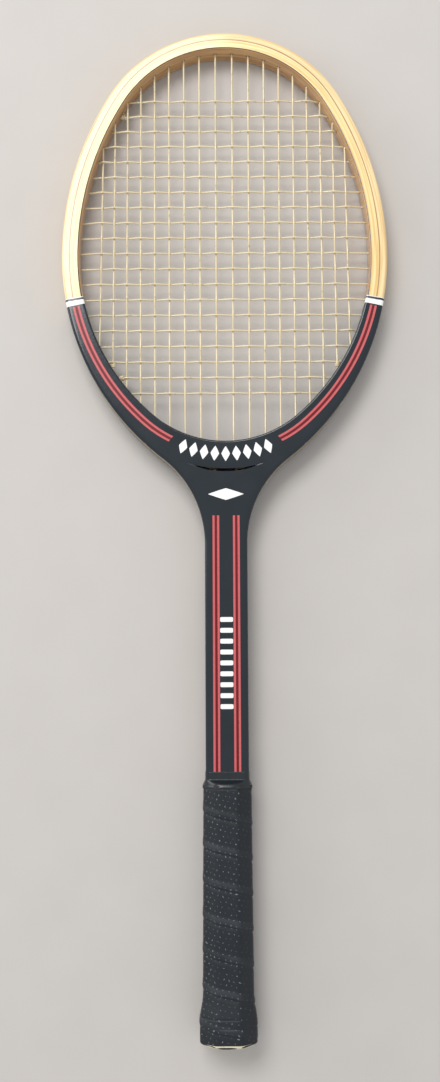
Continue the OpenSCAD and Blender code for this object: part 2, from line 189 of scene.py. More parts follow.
outline_ends = arc_ends(OUTLINE)
band_s = outline_ends[1] + SHOULDER_R * np.radians(overlay_a)
channel_s = outline_ends[2] + CHANNEL_TAIL
grip_s = outline_ends[3] + THROAT_END - GRIP_LEN
foot_s = outline_ends[3] + THROAT_END - CAP_T


def strip_stations():
    """Distances along a strip from foot to foot, every 4 mm on the curves and
    12 mm on the shaft, with two close together at each step in its depth."""
    steps = [band_s, channel_s - CHANNEL_REACH, channel_s, grip_s]
    near = np.ravel([[s - 0.02, s + 0.02] for s in steps])
    half = np.unique(np.concatenate([
        np.arange(0, outline_ends[3], 4.0), near,
        np.arange(outline_ends[3], foot_s, 12.0), [foot_s]]))
    return np.concatenate([-half[:0:-1], half])


def wood_half(s):
    """Half depth of the wood: full in the head, a step lower under the black
    lacquer, and less in the handle."""
    d = np.abs(s)
    return np.where(d < band_s, half_depth,
                    np.where(d < grip_s, half_depth - PAINT_STEP, HANDLE_HALF))


def strip(name, upper, grain_shift):
    """A bent strip: a closed profile of inset and height, carried along the
    outline. upper(s) gives the profile's upper half, from the inner face over
    the top and down to the middle of the outer face."""
    s = strip_stations()[:, None]
    x, y, nx, ny = follow(OUTLINE, s)
    inset, z = upper(s)
    inset = np.concatenate([inset, inset[:, ::-1]], 1)
    z = np.concatenate([z, -z[:, ::-1]], 1)
    piece = surface(name, in_frame(x - nx * inset, y - ny * inset, z),
                    grain=metres(s, inset + grain_shift, z))
    return piece


def outer_profile(s):
    """Flat top, rounded edge, side wall, then half of the channel's hollow, which
    is a half ellipse that fades out above the throat."""
    depth = wood_half(s)
    flat = np.linspace(OUTER_T, EDGE_R, 4)[None, :-1]
    turn, drop = rounded(0, EDGE_R, 8)
    hollow = np.radians(np.linspace(90, 4, 9))
    fade = np.clip((channel_s - np.abs(s)) / CHANNEL_REACH, 0, 1)
    inset = np.concatenate([
        flat + 0 * s, turn[None] + 0 * s,
        CHANNEL_DEPTH * fade * np.cos(hollow)[None]], 1)
    z = np.concatenate([
        depth + 0 * flat, depth + drop[None],
        CHANNEL_HALF * np.sin(hollow)[None] + 0 * s], 1)
    return inset, z


class Out:
    """An output socket, so that shader maths reads as plain expressions."""

    def __init__(self, socket):
        self.socket = socket

    def node(self, kind, settings=(), inputs=(), out=0):
        """Any node, from its type, its settings and its sockets' values or links."""
        made = self.socket.id_data.nodes.new(kind)
        for name, value in dict(settings).items():
            if name == "stops":
                ramp = made.color_ramp.elements
                while len(ramp) < len(value):
                    ramp.new(0.5)
                for stop, (at, colour) in zip(ramp, value):
                    stop.position, stop.color = at, (*colour, 1)
            else:
                setattr(made, name, value)
        for name, value in dict(inputs).items():
            if isinstance(value, Out):
                self.socket.id_data.links.new(value.socket, made.inputs[name])
            else:
                made.inputs[name].default_value = value
        return Out(made.outputs[out])

    def math(self, operation, *values):
        return self.node("ShaderNodeMath", {"operation": operation},
                         dict(enumerate(values)))

    def of(self, operation):
        """A function of this value alone, such as FLOOR or SINE."""
        return self.math(operation, self)

    def __add__(self, other):
        return self.math("ADD", self, other)

    def __sub__(self, other):
        return self.math("SUBTRACT", self, other)

    def __rsub__(self, other):
        return self.math("SUBTRACT", other, self)

    def __mul__(self, other):
        return self.math("MULTIPLY", self, other)

    def __truediv__(self, other):
        return self.math("DIVIDE", self, other)

    __radd__, __rmul__ = __add__, __mul__

    def step(self, low, high):
        """0 below low, 1 above high, smooth between."""
        return self.node("ShaderNodeMapRange", {"interpolation_type": "SMOOTHSTEP"},
                         {"Value": self, "From Min": low, "From Max": high})

    def window(self, rise, full, fall, gone):
        """0 below rise, 1 from full to fall and 0 above gone, smooth between."""
        return self.step(rise, full) * (1 - self.step(fall, gone))

    def body(self):
        """The place on the racket, for a finish that starts from an attribute."""
        return self.node("ShaderNodeTexCoord", (), (), out=3)

    def scaled(self, x, y=None, z=None):
        """The place vector with each direction multiplied, all by x if it is the
        only number."""
        return self.node("ShaderNodeVectorMath", {"operation": "MULTIPLY"},
                         {0: self, 1: (x, y or x, z or x)})

    def part(self, axis):
        """One of the three numbers of a vector."""
        return self.node("ShaderNodeSeparateXYZ", (), {0: self}, out=axis)

    def noise(self, scale=1.0, detail=3.0, rough=0.5):
        """Cloudy value from 0 to 1 at a place."""
        return self.node("ShaderNodeTexNoise", (), {
            "Vector": self, "Scale": scale, "Detail": detail, "Roughness": rough})

    def mix(self, first, second):
        """Colour from first to second as this value goes from 0 to 1."""
        fixed = [c if isinstance(c, Out) else (*c, 1) for c in (first, second)]
        return self.node("ShaderNodeMix", {"data_type": "RGBA"},
                         {0: self, 6: fixed[0], 7: fixed[1]}, out=2)


def material(name, coat, fixed=(), attribute=None):
    """Node material. coat(place) gives the sockets that vary over the surface, and
    Height in metres; fixed gives the numbers on the shader's own sockets."""
    made = bpy.data.materials.new(name)
    made.use_nodes = True
    tree = made.node_tree
    shader = next(n for n in tree.nodes if n.type == "BSDF_PRINCIPLED")
    for socket, value in dict(fixed).items():
        shader.inputs[socket].default_value = value
    if attribute:
        source = tree.nodes.new("ShaderNodeAttribute")
        source.attribute_name = attribute
        place = Out(source.outputs["Vector"])
    else:
        place = Out(tree.nodes.new("ShaderNodeTexCoord").outputs["Object"])
    parts = coat(place)
    height = parts.pop("Height", None)
    if height:
        parts["Normal"] = height.node("ShaderNodeBump", (), {
            "Strength": 1.0, "Distance": 1.0, "Height": height})
    for socket, value in parts.items():
        tree.links.new(value.socket, shader.inputs[socket])
    return made


def ash(pale, deep, streak):
    """Ash under lacquer: growth rings as long wandering lines, short dark pores
    along the grain, and slow changes of tone."""
    def coat(place):
        wander = place.scaled(9, 60, 60).noise(detail=2) * 0.0016
        across = place.node("ShaderNodeCombineXYZ", (), {
            0: place.part(0) * 0.02, 1: place.part(1) + wander, 2: place.part(2) * 0.5})
        rings = across.noise(scale=820, detail=4, rough=0.6).step(0.34, 0.68)
        pores = place.scaled(130, 3800, 3800).noise(detail=2).step(0.62, 0.74)
        tone = place.scaled(7, 90, 90).noise(detail=3)
        wood = (rings * 0.75 + tone * 0.35).step(0.1, 1.0).mix(pale, deep)
        dark = pores * rings * 0.6
        rub = place.scaled(240).noise(detail=4)
        return {
            "Base Color": dark.mix(wood, streak),
            "Roughness": 0.26 + rub * 0.16,
            "Height": rings * -0.000012 + pores * -0.00002 + rub * 0.000006,
        }
    return coat


GLOSS = {"Coat Weight": 0.7, "Coat Roughness": 0.08, "Specular IOR Level": 0.45}


def ash_with_painted_shade_below_bands(place):
    """The same ash, darkened on the bare edge below the bands: painted shade."""
    parts = ash((0.86, 0.66, 0.35), (0.70, 0.46, 0.18), (0.42, 0.24, 0.10))(place)
    # painted shade: the bare wood below the bands is darkened towards grey-brown as if in
    # shadow
    painted_shade_below_bands = place.part(0).of("ABSOLUTE").step((band_s + 1) * MM, (band_s + 4) * MM)
    parts["Base Color"] = (painted_shade_below_bands * 0.8).mix(parts["Base Color"], (0.13, 0.105, 0.07))
    return parts


pale_ash = material("pale_ash", ash_with_painted_shade_below_bands, GLOSS, "grain")
outer_strip = strip("outer_ash_strip", outer_profile, 0)
outer_strip.data.materials.append(pale_ash)
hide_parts("outer_lamination")


# ---------- dark veneer and inner ash strip ----------
# A thin brown veneer and a second, yellower ash strip, glued inside the
# first. Both are planed flush with it, and run down the shaft with it.

def flat_profile(first, last):
    """Rectangle between two insets."""
    def upper(s):
        inset = np.linspace(last, first, 4)[None] + 0 * s
        return inset, wood_half(s) + 0 * inset
    return upper


veneer = strip("dark_veneer",
               flat_profile(OUTER_T, OUTER_T + VENEER_T), 0.02)
veneer.data.materials.append(material("brown_veneer", ash(
    (0.42, 0.23, 0.09), (0.26, 0.12, 0.045), (0.09, 0.04, 0.02)), GLOSS, "grain"))
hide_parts("accent_veneer")

inner_strip = strip("inner_ash_strip",
                    flat_profile(OUTER_T + VENEER_T, ASH_W), 0.05)
inner_strip.data.materials.append(material("yellow_ash", ash(
    (0.87, 0.68, 0.32), (0.70, 0.45, 0.145), (0.38, 0.20, 0.07)), GLOSS, "grain"))
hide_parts("inner_lamination")


# ---------- lining and throat bridge ----------
# A golden-brown ply lines the opening above the bands, and a curved beech bridge
# closes it below them. Both are drilled for the strings, mains a little in front
# of the middle plane and crosses behind it.

OPENING_START = 396
OPENING_R = 75
BRIDGE_W = 19
SLOT_W, SLOT_HALF = 2, 24   # the string slot under the bridge
MAINS, CROSSES = 18, 20
CROSS_START, CROSS_PITCH = 430.5, 11
FOOT_PITCH, FOOT_SQUEEZE = 11.3, 0.135
HEAD_PITCH, HEAD_SQUEEZE = 11.8, 0.22
HOLE_R, HOLE_Z, HOLE_DEPTH = 1.1, 1.5, 3.0
TIE_SHARE = 0.3            # a tail's hole is this far from its anchor's to its own
LIP_R = 1.15               # rounding of the opening's edges

bottom_y = OPENING_START + OPENING_R
gap_half = half_width - HOOP_W
flank_a = 2 * np.degrees(np.arctan2(gap_half - OPENING_R, WIDEST_AT - bottom_y))
flank_r = OPENING_R + (WIDEST_AT - bottom_y) / np.sin(np.radians(flank_a))
flank_x = gap_half - flank_r
OPENING = [
    (0, crown_y, CROWN_R - HOOP_W, 90, side_a, 1),
    (half_width - side_r, WIDEST_AT, side_r - HOOP_W, side_a, 0, 1),
    (flank_x, WIDEST_AT, flank_r, 0, -flank_a, 1),
    (0, bottom_y, OPENING_R, -flank_a, -90, 1),
]
opening_end = arc_ends(OPENING)[-1]


def inset(x, y):
    """Distance of a point inside the outline, measured to the arc it faces."""
    x = np.abs(x)
    lean = np.degrees(np.arctan2(y - WIDEST_AT, x - shoulder_x))
    up = np.degrees(np.arctan2(y - crown_y, x))
    return np.select(
        [up > side_a, y > WIDEST_AT, lean > -throat_a, y > THROAT_END],
        [CROWN_R - np.hypot(x, y - crown_y),
         side_r - np.hypot(x - half_width + side_r, y - WIDEST_AT),
         SHOULDER_R - np.hypot(x - shoulder_x, y - WIDEST_AT),
         np.hypot(x - throat_x, y - THROAT_END) - throat_r],
        SHAFT_HALF - x)


def reach(x, y, ux, uy, cx, cy, r):
    """How far from (x, y) along the unit vector u the circle's far side is."""
    b = ux * (x - cx) + uy * (y - cy)
    return np.sqrt(b * b - (x - cx) ** 2 - (y - cy) ** 2 + r * r) - b


def to_flank(ux, uy):
    """How far from the shoulder arc's centre along u the opening's edge is."""
    return reach(shoulder_x, WIDEST_AT, ux, uy, flank_x, WIDEST_AT, flank_r)


edge_s = np.linspace(-opening_end, opening_end, 8001)
edge_x, edge_y, _, _ = follow(OPENING, edge_s)
lower_edge = np.abs(edge_s) > arc_ends(OPENING)[1]
side_edge = (edge_s > 0) & (edge_s < opening_end - OPENING_R / 2)


def spread(i, pitch, squeeze):
    """Place of main i across the head: evenly spaced, closing up sideways."""
    u = i - (MAINS - 1) / 2
    return pitch * u - np.sign(u) * squeeze * u * u


def nearest(miss, allowed=True):
    """Distance round the opening of the allowed point with the smallest miss."""
    return edge_s[np.argmin(np.where(allowed, miss, np.inf))]


def edge_below(x):
    return nearest(np.abs(edge_x - x), lower_edge)


def edge_above(x):
    return nearest(np.abs(edge_x - x), ~lower_edge)


def edge_beside(y, side):
    return side * nearest(np.abs(edge_y - y), side_edge)


foot_s_of = [edge_below(spread(i, FOOT_PITCH, FOOT_SQUEEZE)) for i in range(MAINS)]
head_s_of = [edge_above(spread(i, HEAD_PITCH, HEAD_SQUEEZE)) for i in range(MAINS)]
cross_ys = CROSS_START + CROSS_PITCH * np.arange(CROSSES)
left_s_of = [edge_beside(y, -1) for y in cross_ys]
right_s_of = [edge_beside(y, 1) for y in cross_ys]


def tie_hole(anchor, own):
    """A tail's own hole lies between its anchor's hole and its string's."""
    return anchor + (own - anchor) * TIE_SHARE


main_ties = [tie_hole(foot_s_of[1], foot_s_of[0]),
             tie_hole(foot_s_of[-2], foot_s_of[-1])]
cross_ties = [tie_hole(left_s_of[1], left_s_of[0]),
              tie_hole(left_s_of[-2], left_s_of[-1])]
holes = np.array(
    [(s, HOLE_Z) for s in foot_s_of + head_s_of + main_ties]
    + [(s, -HOLE_Z) for s in left_s_of + right_s_of + cross_ties])

# where the line square to the hoop at the bands meets the opening's edge
band_ux, band_uy = np.cos(np.radians(overlay_a)), -np.sin(np.radians(overlay_a))
band_t = to_flank(band_ux, band_uy)
lip_band_s = nearest(np.hypot(edge_x - shoulder_x - band_t * band_ux,
                              edge_y - WIDEST_AT - band_t * band_uy))


def edge_stations(first, last):
    """Distances round the opening: every 5 mm, and closer across each hole."""
    pit = np.linspace(-HOLE_R - 0.05, HOLE_R + 0.05, 15)
    s = np.concatenate([np.linspace(first, last, int((last - first) / 5)),
                        (holes[:, :1] + pit).ravel()])
    return np.unique(s[(s >= first) & (s <= last)])


def drilled_wall(name, s, width, half):
    """A piece behind the opening's edge: a closed profile of distance outwards
    and height, carried along the edge. The inner wall is pushed in at each hole,
    by the hole's depth inside its radius."""
    s = s[:, None]
    x, y, nx, ny = follow(OPENING, s)
    turn, drop = rounded(0, LIP_R, 6)
    rows = np.concatenate([np.linspace(half - LIP_R, 3.2, 4)[1:],
                           np.linspace(3.0, 0.05, 22)])
    wide = np.concatenate([width, turn[None] + 0 * s, 0 * s + 0 * rows], 1)
    z = np.concatenate([half + 0 * s, half + drop[None] + 0 * s, rows + 0 * s], 1)
    wide = np.concatenate([wide, wide[:, ::-1]], 1)
    z = np.concatenate([z, -z[:, ::-1]], 1)
    away = np.sqrt((s[:, :, None] - holes[:, 0]) ** 2
                   + (z[:, :, None] - holes[:, 1]) ** 2).min(-1)
    pit = np.clip((HOLE_R + 0.04 - away) / 0.08, 0, 1) * (wide < 0.01)
    deep = wide + pit * np.minimum(HOLE_DEPTH, width * 0.9 + 2)
    piece = surface(name, in_frame(x + nx * deep, y + ny * deep, z),
                    grain=metres(s, deep, z))
    return piece


def face_width(s):
    """Width of the wood behind the opening's edge."""
    x, y, _, _ = follow(OPENING, s)
    return inset(x, y)


lining_s = edge_stations(-lip_band_s, lip_band_s)
lining = drilled_wall("red_brown_lining", lining_s,
                      face_width(lining_s)[:, None] - ASH_W, half_depth)


def ply_with_painted_hole_shade(place):
    """Golden-brown ply, darkened inside the holes: painted shade."""
    parts = ash((0.62, 0.36, 0.13), (0.42, 0.20, 0.065), (0.16, 0.07, 0.03))(place)
    # painted shade: the inside of each string hole is darkened to a near-black brown
    pit = place.part(1).window(0.0003, 0.0008, 0.02, 0.03)
    parts["Base Color"] = pit.mix(parts["Base Color"], (0.025, 0.012, 0.007))
    return parts


lining.data.materials.append(material("red_brown_ply", ply_with_painted_hole_shade, GLOSS, "grain"))
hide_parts("lining_ply")

# the bridge runs down the right side to the bottom and up the left side
bridge_s = edge_stations(lip_band_s, opening_end)
bridge_s = np.concatenate([bridge_s, -bridge_s[-2::-1]])
bridge_wide = np.minimum(face_width(bridge_s) - ASH_W, BRIDGE_W)[:, None]
bridge = drilled_wall("throat_bridge_wood", bridge_s, bridge_wide,
                      half_depth - PAINT_STEP)


def sprayed_beech(place):
    """Brown beech in the holes, under the black lacquer of the wall."""
    parts = ash((0.46, 0.26, 0.11), (0.30, 0.15, 0.06), (0.13, 0.06, 0.03))(place)
    bare = place.part(1).window(0.0002, 0.0005, 0.016, 0.017)
    parts["Base Color"] = bare.mix((0.005, 0.009, 0.013), parts["Base Color"])
    return parts


bridge.data.materials.append(material("sprayed_beech", sprayed_beech, GLOSS, "grain"))
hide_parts("throat_bridge")


# ---------- wedge and shaft core ----------
# The wedge fills the throat below the bridge, and the core carries on down the
# shaft between the strips. Both show only in the string slot and at the butt.

def plain_wood(light, dark):
    """Unvarnished hardwood with its grain along the racket."""
    def coat(place):
        fibre = place.scaled(900, 14, 900).noise(detail=4).step(0.35, 0.7)
        pores = place.scaled(5000, 160, 5000).noise(detail=2).step(0.6, 0.75)
        return {
            "Base Color": (fibre * 0.8 + pores * 0.3).mix(light, dark),
            "Roughness": 0.5 + fibre * 0.2,
            "Height": fibre * 0.00003 + pores * -0.00004,
        }
    return coat


def dress(node, finish):
    """Gives a CAD node its material."""
    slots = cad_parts[node].data.materials
    slots.clear()
    slots.append(finish)


# The wedge's wood is given a near-black brown so that the string slot under the bridge
# looks dark: painted shade.
dress("throat_wedge", material("wedge_wood_darkened_as_slot_shade", plain_wood(
    (0.075, 0.05, 0.03), (0.035, 0.024, 0.016))))
core_wood = material("core_wood", plain_wood((0.50, 0.31, 0.15), (0.32, 0.17, 0.07)))
dress("shaft_core", core_wood)


# ---------- black lacquered overlays ----------
# Thin black overlays cover both faces below the bands. One runs down each
# shoulder and over the bridge, the other from the fine groove under it down the
# shaft, with a slot between them where four mains pass round the bridge.

PAINT_FOOT = 0.05          # the black stops here on the rounded outer edge
PAINT_T = 0.66
LIP_LAP = 0.03             # and this far over the opening's rounded lip
GROOVE_DEPTH = 0.5
GROOVE_SLOPE = 5.0         # the bridge's face slopes down to the groove over this
GROOVE_EDGE = 0.6          # and the shaft's face is rounded over this
GROOVE_END = SLOT_HALF + 2
GROOVE_FADE = 14
SLOT_SHOWN = 22            # half length of the slot left open by the black
SLOT_TAPER = 14            # over which it narrows to nothing
OVERLAY_START = 171        # the black ends here, under the collar
SHAFT_FACE_REACH = 24      # the shaft's face may start this far up the shoulder
MIN_WIDTH = 0.3            # where it is at least this wide
bridge_r = OPENING_R + BRIDGE_W


def rounding(distance, radius):
    """Drop of a face at a distance from an edge rounded with that radius."""
    d = np.clip(radius - distance, 0, radius)
    return radius - np.sqrt(radius * radius - d * d)


def opening_gap(x, y):
    """Distance of a point outside the lower part of the opening."""
    x = np.abs(x)
    low = np.degrees(np.arctan2(y - bottom_y, x)) < -flank_a
    return np.where(low, np.hypot(x, y - bottom_y) - OPENING_R,
                    np.hypot(x - flank_x, y - WIDEST_AT) - flank_r)


def groove_drop(x, y):
    """Drop towards the groove's arc, which fades out past the ends of the slot:
    a long slope above it, on the bridge, and a small rounded edge below it."""
    off = bridge_r - np.hypot(x, y - bottom_y)
    slope = np.clip(1 - off / GROOVE_SLOPE, 0, 1) ** 2
    edge = np.clip(1 + off / GROOVE_EDGE, 0, 1) ** 2
    fade = np.clip((GROOVE_END - np.abs(x)) / GROOVE_FADE, 0, 1)
    near = (off > -3) & (y < bottom_y)
    return GROOVE_DEPTH * fade * near * np.where(off > -0.01, slope, edge)


# the corner where the groove's arc comes out at the lacquer's outer edge
arc_a = np.radians(np.linspace(-90, -30, 6001))
arc_x, arc_y = bridge_r * np.cos(arc_a), bottom_y + bridge_r * np.sin(arc_a)
corner = np.argmin(np.abs(inset(arc_x, arc_y) - PAINT_FOOT))
corner_x, corner_y = arc_x[corner], arc_y[corner]
corner_lean = np.degrees(np.arctan2(corner_y - WIDEST_AT, corner_x - shoulder_x))
corner_turn = np.degrees(np.arctan2(corner_y - bottom_y, corner_x))

NEAR_EDGE = np.array([0, 0.02, 0.08, 0.2, 0.35, 0.6, 0.9, 1.3, 1.8])


def between(start, stop):
    """Places across a face from one edge to the other, close at both edges, for
    end points given as x and y."""
    (ax, ay), (bx, by) = start, stop
    length = np.hypot(bx - ax, by - ay)[:, None]
    near = np.minimum(NEAR_EDGE, length * 0.45)
    middle = near[:, -1:] + (length - 2 * near[:, -1:]) * np.linspace(0, 1, 8)[1:-1]
    t = np.concatenate([near, middle, length - near[:, ::-1]], 1) / length
    return ax[:, None] + (bx - ax)[:, None] * t, ay[:, None] + (by - ay)[:, None] * t


def lacquer_loops(x, y, side, extra):
    """Closed loops of a thin skin: over the face, whose edges are rounded, and
    back underneath."""
    drop = rounding(inset(x, y), EDGE_R) + groove_drop(x, y) + extra
    top = half_depth - drop
    z = np.concatenate([top, top[:, ::-1] - PAINT_T], 1)
    wrap = [np.concatenate([v, v[:, ::-1]], 1) for v in (x, y)]
    return in_frame(*wrap, side * z)


def shoulder_face(side):
    """From band to band: along rays from the shoulder arc's centre, then along
    rays from the opening's centre under the bridge."""
    lean = np.radians(np.linspace(-overlay_a, corner_lean, 48))
    ux, uy = np.cos(lean), np.sin(lean)
    far = SHOULDER_R - PAINT_FOOT
    near = to_flank(ux, uy) - LIP_LAP
    outer = shoulder_x + far * ux, WIDEST_AT + far * uy
    inner = shoulder_x + near * ux, WIDEST_AT + near * uy
    last = np.degrees(np.arctan2(inner[1][-1] - bottom_y, inner[0][-1]))
    turn = np.linspace(corner_turn, -90, 40)[1:]
    inner_turn = -90 + (turn + 90) * (last + 90) / (corner_turn + 90)
    turn, inner_turn = np.radians(turn), np.radians(inner_turn)
    ix, iy = np.cos(inner_turn), np.sin(inner_turn)
    hit = np.where(np.degrees(inner_turn) > -flank_a,
                   reach(0, bottom_y, ix, iy, flank_x, WIDEST_AT, flank_r),
                   OPENING_R) - LIP_LAP
    outer = [np.concatenate(p) for p in zip(
        outer, (bridge_r * np.cos(turn), bottom_y + bridge_r * np.sin(turn)))]
    inner = [np.concatenate(p) for p in zip(
        inner, (hit * ix, bottom_y + hit * iy))]
    flip = (-1, 1)
    outer = [np.concatenate([p, f * p[-2::-1]]) for p, f in zip(outer, flip)]
    inner = [np.concatenate([p, f * p[-2::-1]]) for p, f in zip(inner, flip)]
    x, y = between(outer, inner)
    lip = rounding(opening_gap(x, y), LIP_R)
    return lacquer_loops(x, y, side, lip)


def shaft_face(side):
    """The right half and its mirror image, along the outline's normals, which end
    at the groove, at the slot or at the middle line."""
    s = np.concatenate([
        np.linspace(outline_ends[2] - SHAFT_FACE_REACH, outline_ends[2], 14)[:-1],
        np.linspace(outline_ends[2], outline_ends[3], 60)[:-1],
        np.linspace(outline_ends[3],
                    outline_ends[3] + THROAT_END - OVERLAY_START, 24)])
    x, y, nx, ny = follow(OUTLINE, s)
    to_middle = np.where(nx > 0.01, x / np.maximum(nx, 0.01), 1e3)
    start_gap = np.hypot(x, y - bottom_y)
    b = -(nx * x + ny * (y - bottom_y))

    def to_arc(r):
        inside = b * b - start_gap ** 2 + r * r
        return np.where(inside > 0, -b - np.sqrt(np.maximum(inside, 0)), 1e3)

    length = to_arc(bridge_r)
    taper = np.clip((SLOT_SHOWN - np.abs(x - nx * length)) / SLOT_TAPER, 0, 1) ** 0.7
    length = np.where(taper > 0, to_arc(bridge_r + SLOT_W * taper), length)
    length = np.minimum(length, to_middle)
    keep = length > PAINT_FOOT + MIN_WIDTH
    x, y, nx, ny, length = (v[keep] for v in (x, y, nx, ny, length))
    x, y = between((x - nx * PAINT_FOOT, y - ny * PAINT_FOOT),
                   (x - nx * length, y - ny * length))
    right = lacquer_loops(x, y, side, 0)
    return right, right * [-1, 1, 1]


def lacquer(place):
    """Blue-black gloss: a trace of orange peel, faint dust and fine rubs."""
    cloud = place.scaled(60).noise(detail=4)
    peel = place.scaled(420).noise(detail=1)
    rub = place.scaled(2500, 90, 2500).noise(detail=2).step(0.66, 0.8)
    return {
        "Base Color": cloud.mix((0.004, 0.008, 0.012), (0.007, 0.013, 0.019)),
        "Roughness": 0.13 + cloud * 0.10 + rub * 0.08,
        "Height": peel * 0.000022,
    }


black_lacquer = material("black_lacquer", lacquer, {
    "Coat Weight": 0.25, "Coat Roughness": 0.05, "Specular IOR Level": 0.4})
for face, side in (("front", 1), ("back", -1)):
    shoulders = surface(f"{face}_shoulder_lacquer", shoulder_face(side))
    right, left = shaft_face(side)
    shaft = surface(f"{face}_shaft_lacquer", right)
    mirrored = surface(f"{face}_shaft_lacquer_left", left)
    work = bmesh.new()
    work.from_mesh(shaft.data)
    work.from_mesh(mirrored.data)
    seam = [f for f in work.faces if all(abs(v.co.x) < 1e-6 for v in f.verts)]
    bmesh.ops.delete(work, geom=seam, context="FACES")
    work.to_mesh(shaft.data)
    work.free()
    bpy.data.objects.remove(mirrored)
    finish_mesh(shaft.data, 35, True)
    for piece, node in ((shoulders, "shoulder"), (shaft, "shaft")):
        piece.data.materials.append(black_lacquer)
        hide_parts(f"{face}_{node}_overlay")


# ---------- white bindings ----------
# A gloss white band with one black line is wound round each side of the head,
# over the ends of the black overlays, so that they can't lift.

BAND_LEN = 5.6
BAND_PROUD, BAND_EASE = 0.1, 0.7
BAND_T = 0.4
BAND_LIP = 0.15            # the band's ends are rounded over this


def binding(side):
    """A ring: the rounded section of the hoop, a little proud, carried along the
    outline for the band's length and back inside itself."""
    along = np.concatenate([[BAND_LIP, 0], np.linspace(0, BAND_LEN, 12)[1:-1],
                            [BAND_LEN, BAND_LEN - BAND_LIP]])
    out = np.concatenate([[0], np.full(len(along) - 2, BAND_PROUD), [0]])
    out[1] = out[-2] = BAND_PROUD * BAND_EASE
    along = np.concatenate([along, along[::-1]])
    out = np.concatenate([out, out[::-1] - BAND_T])
    s = side * (band_s - along)[:, None]
    x, y, nx, ny = follow(OUTLINE, s)
    wide = SHOULDER_R - to_flank(np.abs(nx), ny)
    out = out[:, None]
    turn, drop = rounded(0, 1, 7)
    turn, drop = turn[None], drop[None]

    def half_section(radius, face):
        """From the front over one edge, down its wall and round to the back, where
        face(t) is the inset at t times the radius from the wall."""
        wall = np.linspace(1, -1, 9)[None, 1:-1] * (half_depth - radius)
        z = np.concatenate([half_depth + out + radius * drop, wall + 0 * s,
                            -(half_depth + out + radius * drop[:, ::-1])], 1)
        o = [face(radius * turn), face(np.zeros((1, 7))), face(radius * turn[:, ::-1])]
        return np.concatenate(o, 1), z

    outer_o, outer_z = half_section(EDGE_R, lambda t: t - out)
    inner_o, inner_z = half_section(LIP_R, lambda t: wide - t + out)
    o = np.concatenate([outer_o, inner_o], 1)
    z = np.concatenate([outer_z, -inner_z], 1)
    return surface(f"{'right' if side > 0 else 'left'}_white_binding",
                   in_frame(x - nx * o, y - ny * o, z), round_u=True,
                   grain=metres(band_s - np.abs(s), o, z))


def white_band(place):
    """White enamel, a little yellowed and chipped, with a black line near its
    upper edge."""
    worn = place.scaled(500).noise(detail=4)
    line = (place.part(0) + worn * 0.0004).window(0.0037, 0.0039, 0.0052, 0.0054)
    soiled = place.scaled(160).noise(detail=3).step(0.45, 0.8) * 0.35
    white = soiled.mix((0.82, 0.81, 0.77), (0.55, 0.50, 0.42))
    return {
        "Base Color": line.mix(white, (0.012, 0.013, 0.016)),
        "Roughness": 0.2 + worn * 0.2,
        "Height": worn * 0.00003,
    }


band_enamel = material("white_enamel_band", white_band, {"Coat Weight": 0.4}, "grain")
for side, node in ((-1, "left_binding"), (1, "right_binding")):
    band = binding(side)
    band.data.materials.append(band_enamel)
    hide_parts(node)


# ---------- painted lines and marks ----------
# Coral lines with a dark red one between them are transferred on the lacquer of
# the shoulders and the shaft, with plain white shapes on the throat and shaft.
# They lie a few hundredths of a millimetre above the black.

LINE_W = 4.7
LINE_IN, LINE_DRIFT = 6.1, 1.6   # off the opening's edge, and more towards its end
LINE_END = 50.8            # degrees round the shoulder where the lines end
SHAFT_LINE_W = 4.5
SHAFT_LINE_X = 6.85
SHAFT_LINE_TOP, SHAFT_LINE_END = 344.9, 174
INK_T = 0.04


ACROSS = np.linspace(-0.5, 0.5, 13)[None]


def ribbon_of_ink(name, x, y, side):
    """A very thin solid ribbon on a face, from a grid of places, closed down to
    the lacquer. It carries the place across it, from -0.5 to 0.5."""
    top = in_frame(x, y, side * (half_depth + INK_T))
    base = in_frame(x, y, side * (half_depth - INK_T))
    loops = np.concatenate([top, base[:, ::-1]], 1)
    v = np.concatenate([ACROSS + 0 * x, (ACROSS + 0 * x)[:, ::-1]], 1)
    return surface(name, loops, grain=np.stack([v, 0 * v, 0 * v], -1), sharp=30)


def shoulder_lines(name, side, hand):
    """A ribbon along the shoulder, which keeps its distance from the opening."""
    lean = np.linspace(overlay_a + 0.3, LINE_END, 60)[:, None]
    ux, uy = np.cos(np.radians(lean)), -np.sin(np.radians(lean))
    near = to_flank(ux, uy)
    hit_x, hit_y = shoulder_x + near * ux, WIDEST_AT + near * uy
    low = np.degrees(np.arctan2(hit_y - bottom_y, hit_x)) < -flank_a
    near = np.where(
        low, reach(shoulder_x, WIDEST_AT, ux, uy, 0, bottom_y, OPENING_R), near)
    off = LINE_IN + LINE_DRIFT * (lean - overlay_a) / (LINE_END - overlay_a)
    r = near + off + LINE_W * ACROSS
    return ribbon_of_ink(name, hand * (shoulder_x + r * ux), WIDEST_AT + r * uy, side)


def shaft_lines(name, side, hand):
    """A straight ribbon down the shaft."""
    y = np.linspace(SHAFT_LINE_TOP, SHAFT_LINE_END, 60)[:, None]
    x = hand * SHAFT_LINE_X + SHAFT_LINE_W * ACROSS
    return ribbon_of_ink(name, x, y + 0 * ACROSS, side)


def three_lines(place):
    """Coral, dark red and coral across the ribbon, with ragged printed edges."""
    worn = place.body().scaled(900).noise(detail=4)
    v = place.part(0) + worn * 0.05 - 0.025
    middle = v.window(-0.20, -0.17, 0.17, 0.20)
    coral = worn.mix((0.47, 0.080, 0.085), (0.59, 0.13, 0.135))
    return {
        "Base Color": middle.mix(coral, (0.13, 0.001, 0.002)),
        "Roughness": 0.2 + worn * 0.2,
        "Height": worn * 0.00001,
    }


